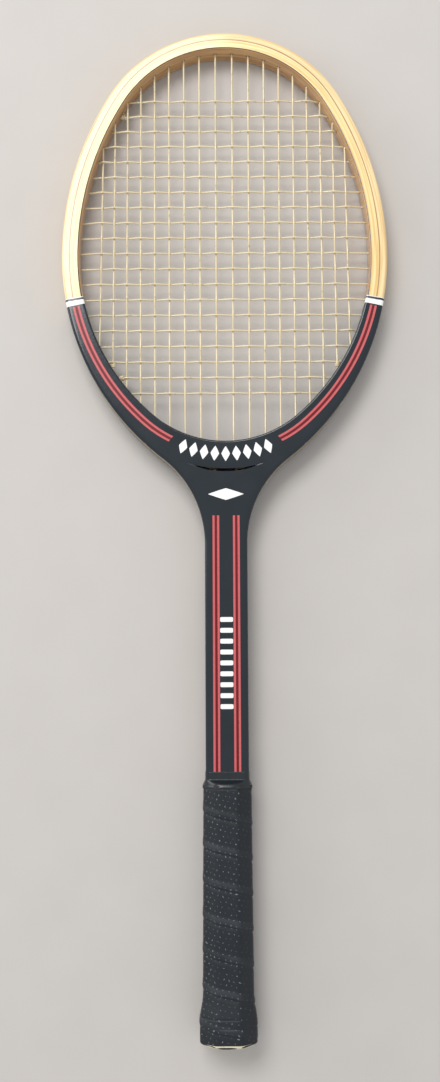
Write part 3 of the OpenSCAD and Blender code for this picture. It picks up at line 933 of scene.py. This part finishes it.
line_paint = material("coral_and_red_lines", three_lines, {
    "Coat Weight": 0.1, "Specular IOR Level": 0.3}, "grain")
for face, side in (("front", 1), ("back", -1)):
    for hand_name, hand in (("left", -1), ("right", 1)):
        for ribbon in (
                shoulder_lines(f"{face}_{hand_name}_shoulder_lines", side, hand),
                shaft_lines(f"{face}_{hand_name}_shaft_lines", side, hand)):
            ribbon.data.materials.append(line_paint)

MARK_R = 84                # radius of the row of lozenges under the opening
LOZENGES, LOZENGE_TURN = 9, 5.0
LOZENGE_W, LOZENGE_H = 5.8, 10.2
RHOMBUS_Y, RHOMBUS_W, RHOMBUS_H = 359.4, 24, 8
BARS, BAR_TOP, BAR_PITCH = 9, 275, 7.2
BAR_W, BAR_H = 8.6, 3.2


def white_shape(name, x, y, w, h, turn, side, power):
    """A closed patch inside |x|^p + |y|^p = 1, stretched to w by h, which is a
    lozenge for p = 1 and a rounded bar for a large p, turned about its middle."""
    a = np.linspace(0, 2 * np.pi, 48, endpoint=False)[None]
    r = (np.abs(np.cos(a)) ** power + np.abs(np.sin(a)) ** power) ** (-1 / power)
    t = np.array([0.02, 0.5, 1.0, 1.0])[:, None]
    z = np.array([INK_T, INK_T, INK_T, -INK_T])[:, None] + half_depth
    px, py = t * r * np.cos(a) * w / 2, t * r * np.sin(a) * h / 2
    c, s = np.cos(turn), np.sin(turn)
    points = in_frame(x + c * px - s * py, y + s * px + c * py, side * (z + 0 * px))
    return surface(name, points, sharp=30)


def white_ink(place):
    """White transfer, slightly cream, thin in places."""
    worn = place.scaled(700).noise(detail=5)
    thin = worn.step(0.6, 0.75) * 0.35
    return {
        "Base Color": thin.mix((0.83, 0.82, 0.78), (0.42, 0.41, 0.39)),
        "Roughness": 0.25 + worn * 0.2,
        "Height": worn * 0.00001,
    }


white_paint = material("white_transfer", white_ink, {"Coat Weight": 0.4})
for face, side in (("front", 1), ("back", -1)):
    marks = []
    for k in range(LOZENGES):
        turn = np.radians((k - (LOZENGES - 1) / 2) * LOZENGE_TURN)
        marks.append(white_shape(
            f"{face}_lozenge_{k + 1}", MARK_R * np.sin(turn),
            bottom_y - MARK_R * np.cos(turn), LOZENGE_W, LOZENGE_H, turn, side, 1.1))
    marks.append(white_shape(f"{face}_rhombus", 0, RHOMBUS_Y, RHOMBUS_W, RHOMBUS_H,
                             0, side, 1.05))
    for k in range(BARS):
        marks.append(white_shape(f"{face}_bar_{k + 1}", 0, BAR_TOP - BAR_PITCH * k,
                                 BAR_W, BAR_H, 0, side, 8))
    for mark in marks:
        mark.data.materials.append(white_paint)


# ---------- handle wood ----------
# Two pallets glued on the faces of the shaft and two cheeks at its sides build it
# up to the handle's eight sides. They lie under the leather.

pallet_wood = material("pallet_wood", plain_wood((0.60, 0.42, 0.22),
                                                 (0.42, 0.26, 0.12)))
for node in ("front_pallet", "back_pallet", "left_butt_cheek", "right_butt_cheek"):
    dress(node, pallet_wood)


# ---------- leather grip ----------
# A long strip of black perforated leather, skived thin at its edges and wound
# spirally up the handle from the butt, each turn lapping the one before.

GRIP_W, GRIP_H, GRIP_FLAT = 32.4, 28.5, 15
GRIP_TAPER = 1.4           # the leather is built up wider towards the butt
BUTT_W, BUTT_H = 37.3, 2 * mid_z / MM
BUTT_FLAT = GRIP_FLAT + 2.6
BEVEL = 0.9                # rise of the bevels over their run
FLARE_LEN, HEEL_LEN = 32, 14
END_CURVE = 1.5            # the butt's end is cut back this much at its sides
END_SLANT = 1.3            # and this much at its back
SLANT_FROM = 6             # from this height above the middle
WRAP_PITCH = 22.6
SEAM_Y = 143.9             # a seam crosses the middle of the front flat here
LEATHER_FOOT = 0.58        # the leather is rolled over the edge of the butt cap
COLLAR_LAP = 2             # and its top end is under the collar
LEATHER_T = 0.9
ROLL_R = 1.6
GIRTH_SHARE = 0.78         # girth of the eight sides over that of a rectangle
SEAM_DEPTH, SEAM_HALF = 0.45, 0.5       # the groove at each seam
RIDGE_H, RIDGE_AT, RIDGE_HALF = 0.36, 2.6, 1.9   # the lapped edge above it
THIN_DEPTH, THIN_HALF = 0.35, 1.6       # the skived edge that goes under the lap
LAST_TURNS = (12.6, 18.2)  # two level lines where the strip starts at the heel
LAST_TURN_DEPTH = 0.25
HEEL_FLAT = 12             # the seams fade out below this
TUCK_DEPTH = 0.35          # the leather is pressed in under the collar
FOOT_REACH = 10            # the foot's shape fades out up to here
CORNER_WAVE, SIDE_WAVE = 0.4, 0.1
RING_POINTS = 192
INNER_RINGS = 40           # the hidden inner face needs only these


def eight_sides(w, h, flat, soft):
    """Points round an octagon seen from the butt, evenly spaced, with the corners
    softened by averaging each point with its neighbours over the length soft."""
    x, f = w / 2, flat / 2
    z = h / 2 - (x - f) * BEVEL
    px = np.stack(np.broadcast_arrays(0 * f, f, x, x, f, -f, -x, -x, -f, 0 * f), -1)
    pz = np.stack(np.broadcast_arrays(h / 2, h / 2, z, -z, -h / 2, -h / 2, -z, z,
                                      h / 2, h / 2), -1)
    edge = np.hypot(np.diff(px), np.diff(pz))
    far = np.concatenate([[0], np.cumsum(edge)])
    t = np.linspace(0, far[-1], RING_POINTS, endpoint=False)
    ring = np.interp(t, far, px) + 1j * np.interp(t, far, pz)
    count = max(1, int(round(soft / (far[-1] / RING_POINTS))))
    weight = np.hanning(2 * count + 3)[1:-1]
    shifts = np.arange(-count, count + 1)
    soft_ring = sum(k * np.roll(ring, n) for k, n in zip(weight, shifts))
    return soft_ring / weight.sum(), t / far[-1]


def grip_width(y):
    """Width of the grip at a distance from the butt, above the flare."""
    return GRIP_W + GRIP_TAPER * (0.5 - (y - FLARE_LEN) / (GRIP_LEN - FLARE_LEN))


def end_curve(ring):
    """How far the butt's end lies above its lowest point: more towards its sides,
    and more towards its back: curve |2x/w|^4 + slant (6 - z)/(6 + h/2)."""
    slant = np.clip((SLANT_FROM - ring.imag) / (SLANT_FROM + BUTT_H / 2), 0, 1)
    return END_CURVE * np.abs(2 * ring.real / BUTT_W) ** 4 + END_SLANT * slant


def smooth(t):
    """0 to 1 with level ends, clipped outside."""
    t = np.clip(t, 0, 1)
    return t * t * (3 - 2 * t)


def leather_wrap():
    """The eight-sided section carried up the handle and swollen into the heel. The
    leather's height follows the distance from the spiral seam: a narrow groove,
    a raised lapped edge above it, and a slightly hollow middle. Its foot follows
    the butt's end, and waves a little between the corners."""
    y = np.concatenate([np.linspace(LEATHER_FOOT, CAP_T + 2, 14),
                        np.linspace(CAP_T + 2.3, GRIP_LEN, 440)])
    swell = smooth((FLARE_LEN - y) / (FLARE_LEN - HEEL_LEN))
    roll = rounding(y - LEATHER_FOOT + 0.2, ROLL_R)
    rings = []
    for w, t, drop in zip(grip_width(y), swell, roll):
        ring, around = eight_sides(
            w + (BUTT_W - w) * t - 2 * drop,
            GRIP_H + (BUTT_H - 1 - GRIP_H) * t - 2 * drop,
            GRIP_FLAT + (BUTT_FLAT - GRIP_FLAT) * t, 3.2)
        rings.append(ring)
    ring = np.array(rings)
    tangent = np.roll(ring, -1, 1) - np.roll(ring, 1, 1)
    normal = -1j * tangent / np.abs(tangent)
    normal = np.where((normal * ring.conj()).real > 0, normal, -normal)
    phase = (y[:, None] - SEAM_Y) / WRAP_PITCH + around[None]
    lap = (phase - np.floor(phase)) * WRAP_PITCH
    height = (0.10 - SEAM_DEPTH * np.exp(-(lap / SEAM_HALF) ** 2)
              + RIDGE_H * np.exp(-((lap - RIDGE_AT) / RIDGE_HALF) ** 2)
              - THIN_DEPTH * np.exp(-((WRAP_PITCH - lap) / THIN_HALF) ** 2))
    last_turn = sum(np.exp(-((y - at) / SEAM_HALF) ** 2) for at in LAST_TURNS)
    height = height - LAST_TURN_DEPTH * last_turn[:, None]
    height = height * np.clip(y / HEEL_FLAT, 0.2, 1)[:, None]
    tuck = np.clip(GRIP_LEN - COLLAR_LAP + 0.3 - y, 0, 1)[:, None]
    height = height * tuck - TUCK_DEPTH * (1 - tuck)
    ring = ring + normal * height
    wave = (SIDE_WAVE * np.sin(14 * np.pi * around)
            - CORNER_WAVE * np.cos(8 * np.pi * around))
    foot = np.clip(1 - y / FOOT_REACH, 0, 1)[:, None] ** 2
    rows = y[:, None] + foot * (end_curve(ring) + wave)
    inside = np.linspace(len(y) - 1, 0, INNER_RINGS).astype(int)
    loop = np.concatenate([ring, ring[inside] - normal[inside] * LEATHER_T])
    ys = np.concatenate([rows, rows[inside]])
    girth = 2 * (GRIP_W + GRIP_H) * GIRTH_SHARE
    grain = metres(around[None] * girth, lap, y[:, None])
    return surface("leather_wrap", in_frame(loop.real, ys, loop.imag), round_u=True,
                   grain=np.concatenate([grain, grain[inside]]), sharp=70)


PUNCH_PITCH = 0.0034       # metres between the small holes


def perforated(place):
    """Black leather: rows of small punched holes along the strip, each with a painted
    glint, pebbled grain, a painted sheen along each lapped edge, and a bevel that the palm
    has rubbed smooth."""
    body = place.body()
    stray = body.scaled(330)
    along = place.part(0) + (stray.noise(detail=1) - 0.5) * 0.0030
    across = place.part(1) + (stray.noise(scale=1.3, detail=1) - 0.5) * 0.0024
    rows = across / PUNCH_PITCH
    u = (along / PUNCH_PITCH + rows.of("FLOOR") * 0.5).of("FRACT") - 0.5
    v = rows.of("FRACT") - 0.5
    patchy = body.scaled(260).noise(detail=2).step(0.36, 0.62)
    palm = along.window(0.0068, 0.0086, 0.020, 0.025)
    # painted glint: each punched hole is coloured a lighter grey, patchy from hole to
    # hole, as if catching the light
    hole_and_painted_glint = (1 - (u * u + v * v).step(0.006, 0.022)) * (0.2 + patchy * 0.8) * (
        1 - palm * 0.8)
    grain = body.node("ShaderNodeTexVoronoi", {"feature": "F1"}, {
        "Vector": body, "Scale": 1500.0})
    crease = body.scaled(700, 380, 700).noise(detail=5, rough=0.65)
    rub = body.scaled(45).noise(detail=3)
    # painted sheen: a band along each lapped edge is coloured lighter, as if catching the
    # light
    edge = across.window(0.0004, 0.0016, 0.0040, 0.0062) * (
        rub.step(0.34, 0.66) + 0.15) * (1 - palm * 0.6)
    tone = (crease * 0.5 + rub * 0.5).mix((0.004, 0.006, 0.008), (0.015, 0.019, 0.024))
    tone = (edge * 0.32).mix(tone, (0.050, 0.056, 0.064))
    return {
        "Base Color": hole_and_painted_glint.mix(tone, (0.16, 0.17, 0.18)),
        "Roughness": 0.42 + crease * 0.2 - rub * 0.12 + hole_and_painted_glint * 0.3 - palm * 0.06,
        "Height": crease * 0.00006 + grain * 0.00003 - hole_and_painted_glint * 0.00025,
    }


wrap = leather_wrap()
wrap.data.materials.append(material("black_leather", perforated, {
    "Specular IOR Level": 0.35}, "grain"))
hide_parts("leather_grip")


# ---------- finishing tape ----------
# A turn of black cloth tape holds the top end of the leather. The collar hides
# all but its edge.

def cloth(place):
    """Fine black woven tape."""
    weft = (place.part(1) * 9000).of("SINE")
    fuzz = place.scaled(2500).noise(detail=2)
    return {
        "Base Color": fuzz.mix((0.008, 0.008, 0.008), (0.03, 0.03, 0.03)),
        "Roughness": 0.7 + fuzz * 0.2,
        "Height": weft * 0.00002 + fuzz * 0.00002,
    }


dress("finishing_tape", material("black_cloth_tape", cloth))


# ---------- rubber collar ----------
# A moulded rubber sleeve, rolled up over the top of the leather. It is stretched
# from the handle's eight sides down to the shaft's flat section.

COLLAR_LEN = 9
COLLAR_SLOPE = 3
COLLAR_T = 0.65            # its wall stands out this much from the leather
BEAD_H, BEAD_AT, BEAD_HALF = 0.4, 0.8, 1.2
SLEEVE_W, SLEEVE_H = 1.5, 1.2   # how much wider and thicker it is than the shaft
SLEEVE_INSIDE = 0.965      # its inside's size over its outside's


def collar_sleeve():
    """Sections from the handle's octagon down a short slope to the shaft's rounded
    rectangle, with a rolled bead at the lower end and a thin rounded lip at the
    upper end."""
    y = np.concatenate([np.linspace(-COLLAR_LAP, COLLAR_SLOPE + 0.4, 60),
                        np.linspace(COLLAR_SLOPE + 0.7, COLLAR_LEN, 24)])
    ease = smooth((y - 0.3) / (COLLAR_SLOPE + 0.7))
    bead = BEAD_H * (np.exp(-((y + COLLAR_LAP - BEAD_AT) / BEAD_HALF) ** 2) - 1)
    out = bead - rounding(y + COLLAR_LAP + 0.1, 0.9) - rounding(COLLAR_LEN - y, 0.45)
    low_w, low_h = grip_width(GRIP_LEN) + 2 * COLLAR_T, GRIP_H + 2 * COLLAR_T
    top_w, top_h = 2 * SHAFT_HALF + SLEEVE_W, 2 * half_depth + SLEEVE_H
    rings = [eight_sides(low_w + (top_w - low_w) * e + 2 * o,
                         low_h + (top_h - low_h) * e + 2 * o,
                         GRIP_FLAT + (top_w - 5 - GRIP_FLAT) * e, 8 - 5.5 * e)[0]
             for e, o in zip(ease, out)]
    ring = np.array(rings)
    loop = np.concatenate([ring, ring[::-1] * SLEEVE_INSIDE])
    ys = GRIP_LEN + np.concatenate([y, y[::-1]])[:, None]
    return surface("rubber_collar", in_frame(loop.real, ys, loop.imag), round_u=True,
                   sharp=60)


def rubber(place):
    """Moulded black rubber: semi-gloss, with a little bloom and fine scuffs."""
    cloud = place.scaled(150).noise(detail=4)
    grit = place.scaled(1600).noise(detail=3)
    return {
        "Base Color": cloud.mix((0.004, 0.007, 0.010), (0.009, 0.014, 0.018)),
        "Roughness": 0.22 + cloud * 0.14,
        "Height": grit * 0.00001,
    }


collar = collar_sleeve()
collar.data.materials.append(material("black_rubber", rubber))
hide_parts("grip_collar")


# ---------- butt cap and tacks ----------
# A moulded ivory plastic cap closes the butt, held by two brass tacks driven into
# the ends of the ash strips.

CAP_PLAY = 0.3             # the cap lies inside the rolled leather by this much


def cap_shell():
    """Eight-sided sections from the middle of the end face out to its rounded rim
    and up to the leather, closed behind the rim. The end follows end_curve."""
    turn = np.radians(np.linspace(0, 90, 7))
    grow = np.concatenate([[0.03, 0.3, 0.6, 0.85], np.ones(7), [0.03]])
    y = np.concatenate([np.zeros(4), CAP_T * (1 - np.cos(turn)), [CAP_T]])
    drop = CAP_PLAY + np.concatenate([np.full(4, CAP_T), CAP_T * (1 - np.sin(turn)),
                                      [0]])
    rings = [eight_sides((BUTT_W - 2 * d) * g, (BUTT_H - 2 * d) * g,
                         (BUTT_FLAT - d) * g, 3.0 * g)[0]
             for g, d in zip(grow, drop)]
    ring = np.array(rings)
    rows = np.minimum(y[:, None] + end_curve(ring), CAP_T)
    return surface("butt_cap_shell", in_frame(ring.real, rows, ring.imag), sharp=50)


def ivory(place):
    """Aged ivory plastic: slightly mottled, with grubby scuffs in patches."""
    cloud = place.scaled(70).noise(detail=4)
    scuff = place.scaled(900, 900, 200).noise(detail=3).step(0.6, 0.75)
    aged = cloud.mix((0.78, 0.72, 0.55), (0.62, 0.53, 0.36))
    return {
        "Base Color": (scuff * 0.5).mix(aged, (0.36, 0.30, 0.21)),
        "Roughness": 0.32 + cloud * 0.15 + scuff * 0.2,
        "Height": scuff * -0.00004 + cloud * 0.00002,
    }


cap = cap_shell()
cap.data.materials.append(material("ivory_plastic", ivory))
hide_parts("butt_cap")


def brass(place):
    """Dull brass with tarnish."""
    tarnish = place.scaled(1200).noise(detail=4)
    return {
        "Base Color": tarnish.mix((0.62, 0.45, 0.18), (0.28, 0.18, 0.08)),
        "Roughness": 0.3 + tarnish * 0.3,
        "Height": tarnish * 0.00002,
    }


dress("butt_tacks", material("tack_brass", brass, {"Metallic": 1.0}))


# ---------- strings ----------
# Two lengths of cream twisted gut, one for the mains and one for the crosses,
# woven over and under each other. Outside the wood they lie in the channel, and
# the four middle mains' lower loops lie in the slot under the bridge.

STRING_R = 0.675
STRING_IN = 0.8            # its line lies this far inside the outline, outside
WEAVE = 0.85               # how far it rises and falls at a crossing
CROSSING_MARGIN = 2        # it isn't woven this close to the wood
STEP = 0.9                 # spacing of the rings along a string
STRING_SIDES = 8


def point_at(s):
    """Point on the opening's edge at distance s."""
    x, y, _, _ = follow(OPENING, np.asarray(s, float))
    return np.array([x, y]).T


def normal_at(s):
    """Outward direction there."""
    _, _, nx, ny = follow(OPENING, np.asarray(s, float))
    return np.array([nx, ny]).T


def walk_out(p, way, slot):
    """Moves points along way to the string's line: in the channel a little inside
    the outline, or in the middle of the slot."""
    for _ in range(14):
        x, y = p[..., 0], p[..., 1]
        gap = (bridge_r + SLOT_W / 2 - np.hypot(x, y - bottom_y) if slot
               else inset(x, y) - STRING_IN)
        p = p + way * gap[..., None]
    return p


def slotted(s):
    """True where a hole at s opens into the slot under the bridge."""
    x, y = point_at(s)
    return y < bottom_y and abs(x) < SLOT_HALF


def outside_loop(s0, s1, z):
    """Five points outside the wood from one hole to the next."""
    a, b = point_at(s0), point_at(s1)
    na, nb = normal_at(s0), normal_at(s1)
    start = walk_out(a + na * HOOP_W / 2, na, slotted(s0))
    stop = walk_out(b + nb * HOOP_W / 2, nb, slotted(s1))
    way = unit(na + nb)
    t = np.linspace(0, 1, 5)[:, None]
    line = walk_out(start + (stop - start) * t, way, slotted(s0) and slotted(s1))
    return np.column_stack([line, np.full(5, z)])


def tail(own, tie, z):
    """From the string's own hole round to the tie hole and back through it."""
    end, way = point_at(tie), normal_at(tie)
    inside = np.array([[*end, z], [*(end - 2 * way), z]])
    return np.concatenate([outside_loop(own, tie, z), inside])


foot = point_at(foot_s_of)
head = point_at(head_s_of)


def crossing(i, j):
    """Where main i and cross j meet."""
    y = cross_ys[j]
    return foot[i, 0] + (head[i, 0] - foot[i, 0]) * (y - foot[i, 1]) / (
        head[i, 1] - foot[i, 1]), y


def woven(x, y):
    """True where a crossing is far enough from the edge to be woven."""
    side = point_at(edge_beside(y, 1))[0]
    top, bottom = point_at(edge_above(x))[1], point_at(edge_below(x))[1]
    return (abs(x) < side - CROSSING_MARGIN
            and bottom + CROSSING_MARGIN < y < top - CROSSING_MARGIN)


grid = [[(*crossing(i, j), woven(*crossing(i, j))) for j in range(CROSSES)]
        for i in range(MAINS)]


def main_points(i):
    """One main from the throat to the top: its holes and its crossings."""
    met = [(x, y, WEAVE * (-1) ** (i + j))
           for j, (x, y, on) in enumerate(grid[i]) if on]
    return np.array([(*foot[i], HOLE_Z), *met, (*head[i], HOLE_Z)])


def cross_points(j):
    """One cross from left to right."""
    met = [(grid[i][j][0], grid[i][j][1], -WEAVE * (-1) ** (i + j))
           for i in range(MAINS) if grid[i][j][2]]
    return np.array([(*point_at(left_s_of[j]), -HOLE_Z), *met,
                     (*point_at(right_s_of[j]), -HOLE_Z)])


def zigzag(lines, starts, stops, z):
    """Every other line backwards, with a loop outside the wood between them."""
    parts = []
    for k, line in enumerate(lines):
        parts.append(line if k % 2 == 0 else line[::-1])
        if k < len(lines) - 1:
            ends = stops if k % 2 == 0 else starts
            parts.append(outside_loop(ends[k], ends[k + 1], z))
    return parts


def unit(v):
    """Vectors of length 1."""
    return v / np.linalg.norm(v, axis=-1, keepdims=True)


def tube(line, beside, over, r, sides):
    """Rings of radius r round a line, in the plane of two unit vectors."""
    a = np.linspace(0, 2 * np.pi, sides, endpoint=False)[None, :, None]
    return line[:, None] + r * (np.cos(a) * beside[:, None] + np.sin(a) * over[:, None])


def gut(name, parts, node):
    """Round tube of eight sides along the points: straight in plan between them,
    with a cosine rise and fall, its corners softened by a short moving average."""
    path = np.concatenate(parts)
    gap = np.linalg.norm(np.diff(path, axis=0), axis=1)
    path = path[np.concatenate([[True], gap > 1e-3])]
    gap = np.linalg.norm(np.diff(path, axis=0), axis=1)
    far = np.concatenate([[0], np.cumsum(gap)])
    t = np.linspace(0, far[-1], int(far[-1] / STEP))
    leg = np.clip(np.searchsorted(far, t, "right") - 1, 0, len(far) - 2)
    u = (t - far[leg]) / (far[leg + 1] - far[leg])
    line = path[leg] + (path[leg + 1] - path[leg]) * u[:, None]
    rise = (1 - np.cos(np.pi * u)) / 2
    line[:, 2] = path[leg, 2] + (path[leg + 1, 2] - path[leg, 2]) * rise
    soft = np.pad(line, ((1, 1), (0, 0)), "edge")
    line = soft[:-2] * 0.25 + soft[1:-1] * 0.5 + soft[2:] * 0.25
    way = unit(np.gradient(line, axis=0))
    beside = unit(np.cross(way, [0, 0, 1]))
    rings = tube(line, beside, np.cross(beside, way), STRING_R, STRING_SIDES)
    turns = np.arange(STRING_SIDES)[None] / STRING_SIDES
    grain = np.stack(np.broadcast_arrays(t[:, None] * MM, turns, 0), -1)
    piece = surface(name, in_frame(*np.moveaxis(rings, -1, 0)), grain=grain, sharp=80)
    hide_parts(node)
    return piece


def twisted_gut(place):
    """Cream gut: a fine twist along the string, translucent ambers and a little
    grime at random."""
    body = place.body()
    ply = (place.part(0) * 2600 + place.part(1) * 12.566).of("SINE") * 0.5 + 0.5
    amber = body.scaled(35).noise(detail=3)
    grime = body.scaled(300).noise(detail=4).step(0.58, 0.75) * 0.5
    cream = amber.mix((0.78, 0.68, 0.47), (0.62, 0.50, 0.29))
    cream = (ply * 0.2).mix(cream, (0.46, 0.35, 0.19))
    return {
        "Base Color": grime.mix(cream, (0.22, 0.17, 0.10)),
        "Roughness": 0.3 + grime * 0.3,
        "Height": ply * 0.00004,
    }


gut_finish = material("cream_gut", twisted_gut, {
    "Coat Weight": 0.3, "Specular IOR Level": 0.5}, "grain")
mains_path = [tail(foot_s_of[0], main_ties[0], HOLE_Z)[::-1],
              *zigzag([main_points(i) for i in range(MAINS)], foot_s_of, head_s_of,
                      HOLE_Z),
              tail(foot_s_of[-1], main_ties[1], HOLE_Z)]
crosses_path = [tail(left_s_of[0], cross_ties[0], -HOLE_Z)[::-1],
                *zigzag([cross_points(j) for j in range(CROSSES)], left_s_of,
                        right_s_of, -HOLE_Z),
                tail(left_s_of[-1], cross_ties[1], -HOLE_Z)]
for piece in (gut("main_gut", mains_path, "main_string"),
              gut("cross_gut", crosses_path, "cross_string")):
    piece.data.materials.append(gut_finish)


# ---------- knots ----------
# Each string's tail is tied off round its neighbour, tight against the wood.

KNOT_R = 0.6
KNOT_TURNS = 2.3
KNOT_START, KNOT_PITCH = 1.6, 1.3   # from the wood, and from turn to turn


def knots():
    """Four short coils: a round cord carried along a helix about the anchor."""
    anchors = [main_points(1), main_points(MAINS - 2), cross_points(1),
               cross_points(CROSSES - 2)]
    loops = []
    t = np.linspace(0, KNOT_TURNS, 60)[:, None]
    taper = np.minimum(1, np.minimum(t, KNOT_TURNS - t) * 8 + 0.15)[:, :, None]
    for start, after in (anchor[:2] for anchor in anchors):
        way = unit(after - start)
        beside = unit(np.cross(way, [0, 0, 1]))
        angle = 2 * np.pi * t
        out = np.cos(angle) * beside + np.sin(angle) * np.cross(beside, way)
        line = start + way * (KNOT_START + KNOT_PITCH * t) + out * (STRING_R + KNOT_R)
        third = np.cross(unit(np.gradient(line, axis=0)), out)
        loops.append(tube(line, out, third, KNOT_R * taper, 10))
    return loops


for k, coil in enumerate(knots()):
    knot = surface(f"gut_knot_{k + 1}", in_frame(*np.moveaxis(coil, -1, 0)), sharp=80,
                   grain=np.zeros(3))
    knot.data.materials.append(gut_finish)
    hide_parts("string_knots")


# ---------- floor, light and camera ----------
# The racket lies on a plain pale floor, on its butt and the tip of its head, under
# soft studio light: a large window-like light beyond the head and a pale room.

head_gap = mid_z - half_depth * MM
tilt = head_gap / (racket_len * MM)
FLOOR_HALF = 1.6
FLOOR_DROP = 0.0002        # it lies this far under the racket
floor_mesh = bpy.data.meshes.new("floor")
floor_mesh.from_pydata(
    [(x * FLOOR_HALF, y * FLOOR_HALF, (y * FLOOR_HALF - butt_y) * tilt - FLOOR_DROP)
     for x, y in ((-1, -1), (1, -1), (1, 1), (-1, 1))], [], [(0, 1, 2, 3)])
floor = bpy.data.objects.new("floor", floor_mesh)
bpy.context.scene.collection.objects.link(floor)


def pale_floor(place):
    """Plain pale matt floor with a faint mottle."""
    mottle = place.scaled(25).noise(detail=4)
    return {
        "Base Color": mottle.mix((0.50, 0.465, 0.43), (0.54, 0.505, 0.47)),
        "Roughness": 0.8 + mottle * 0.1,
    }


floor_mesh.materials.append(material("pale_floor", pale_floor))


def area_light(name, place, aim, size, watts):
    """A rectangular soft light at place, facing aim."""
    data = bpy.data.lights.new(name, "AREA")
    data.shape, data.size, data.size_y, data.energy = "RECTANGLE", *size, watts
    lamp = bpy.data.objects.new(name, data)
    bpy.context.scene.collection.objects.link(lamp)
    lamp.location = place
    toward = Vector(aim) - Vector(place)
    lamp.rotation_euler = toward.to_track_quat("-Z", "Y").to_euler()
    return lamp


area_light("key_light", (-0.6, 1.15, 2.0), (0, 0.1, 0), (1.3, 1.0), 35)
area_light("window_light", (-1.9, 0.9, 0.55), (0, 0, 0.02), (1.6, 0.9), 15)
world = bpy.data.worlds.new("pale_room")
world.use_nodes = True
room = world.node_tree.nodes["Background"]
room.inputs["Color"].default_value = (0.93, 0.96, 1.0, 1)
room.inputs["Strength"].default_value = 0.75
bpy.context.scene.world = world
bpy.context.scene.view_settings.view_transform = "Standard"

lens = bpy.data.cameras.new("camera")
lens.lens, lens.sensor_width = 43.69, 36
lens.clip_start = 0.01
camera = bpy.data.objects.new("camera", lens)
bpy.context.scene.collection.objects.link(camera)
camera.location = (-0.0046, -0.112, 0.901)
camera.rotation_euler = (np.radians(6.3), 0, -0.005)
bpy.context.scene.camera = camera
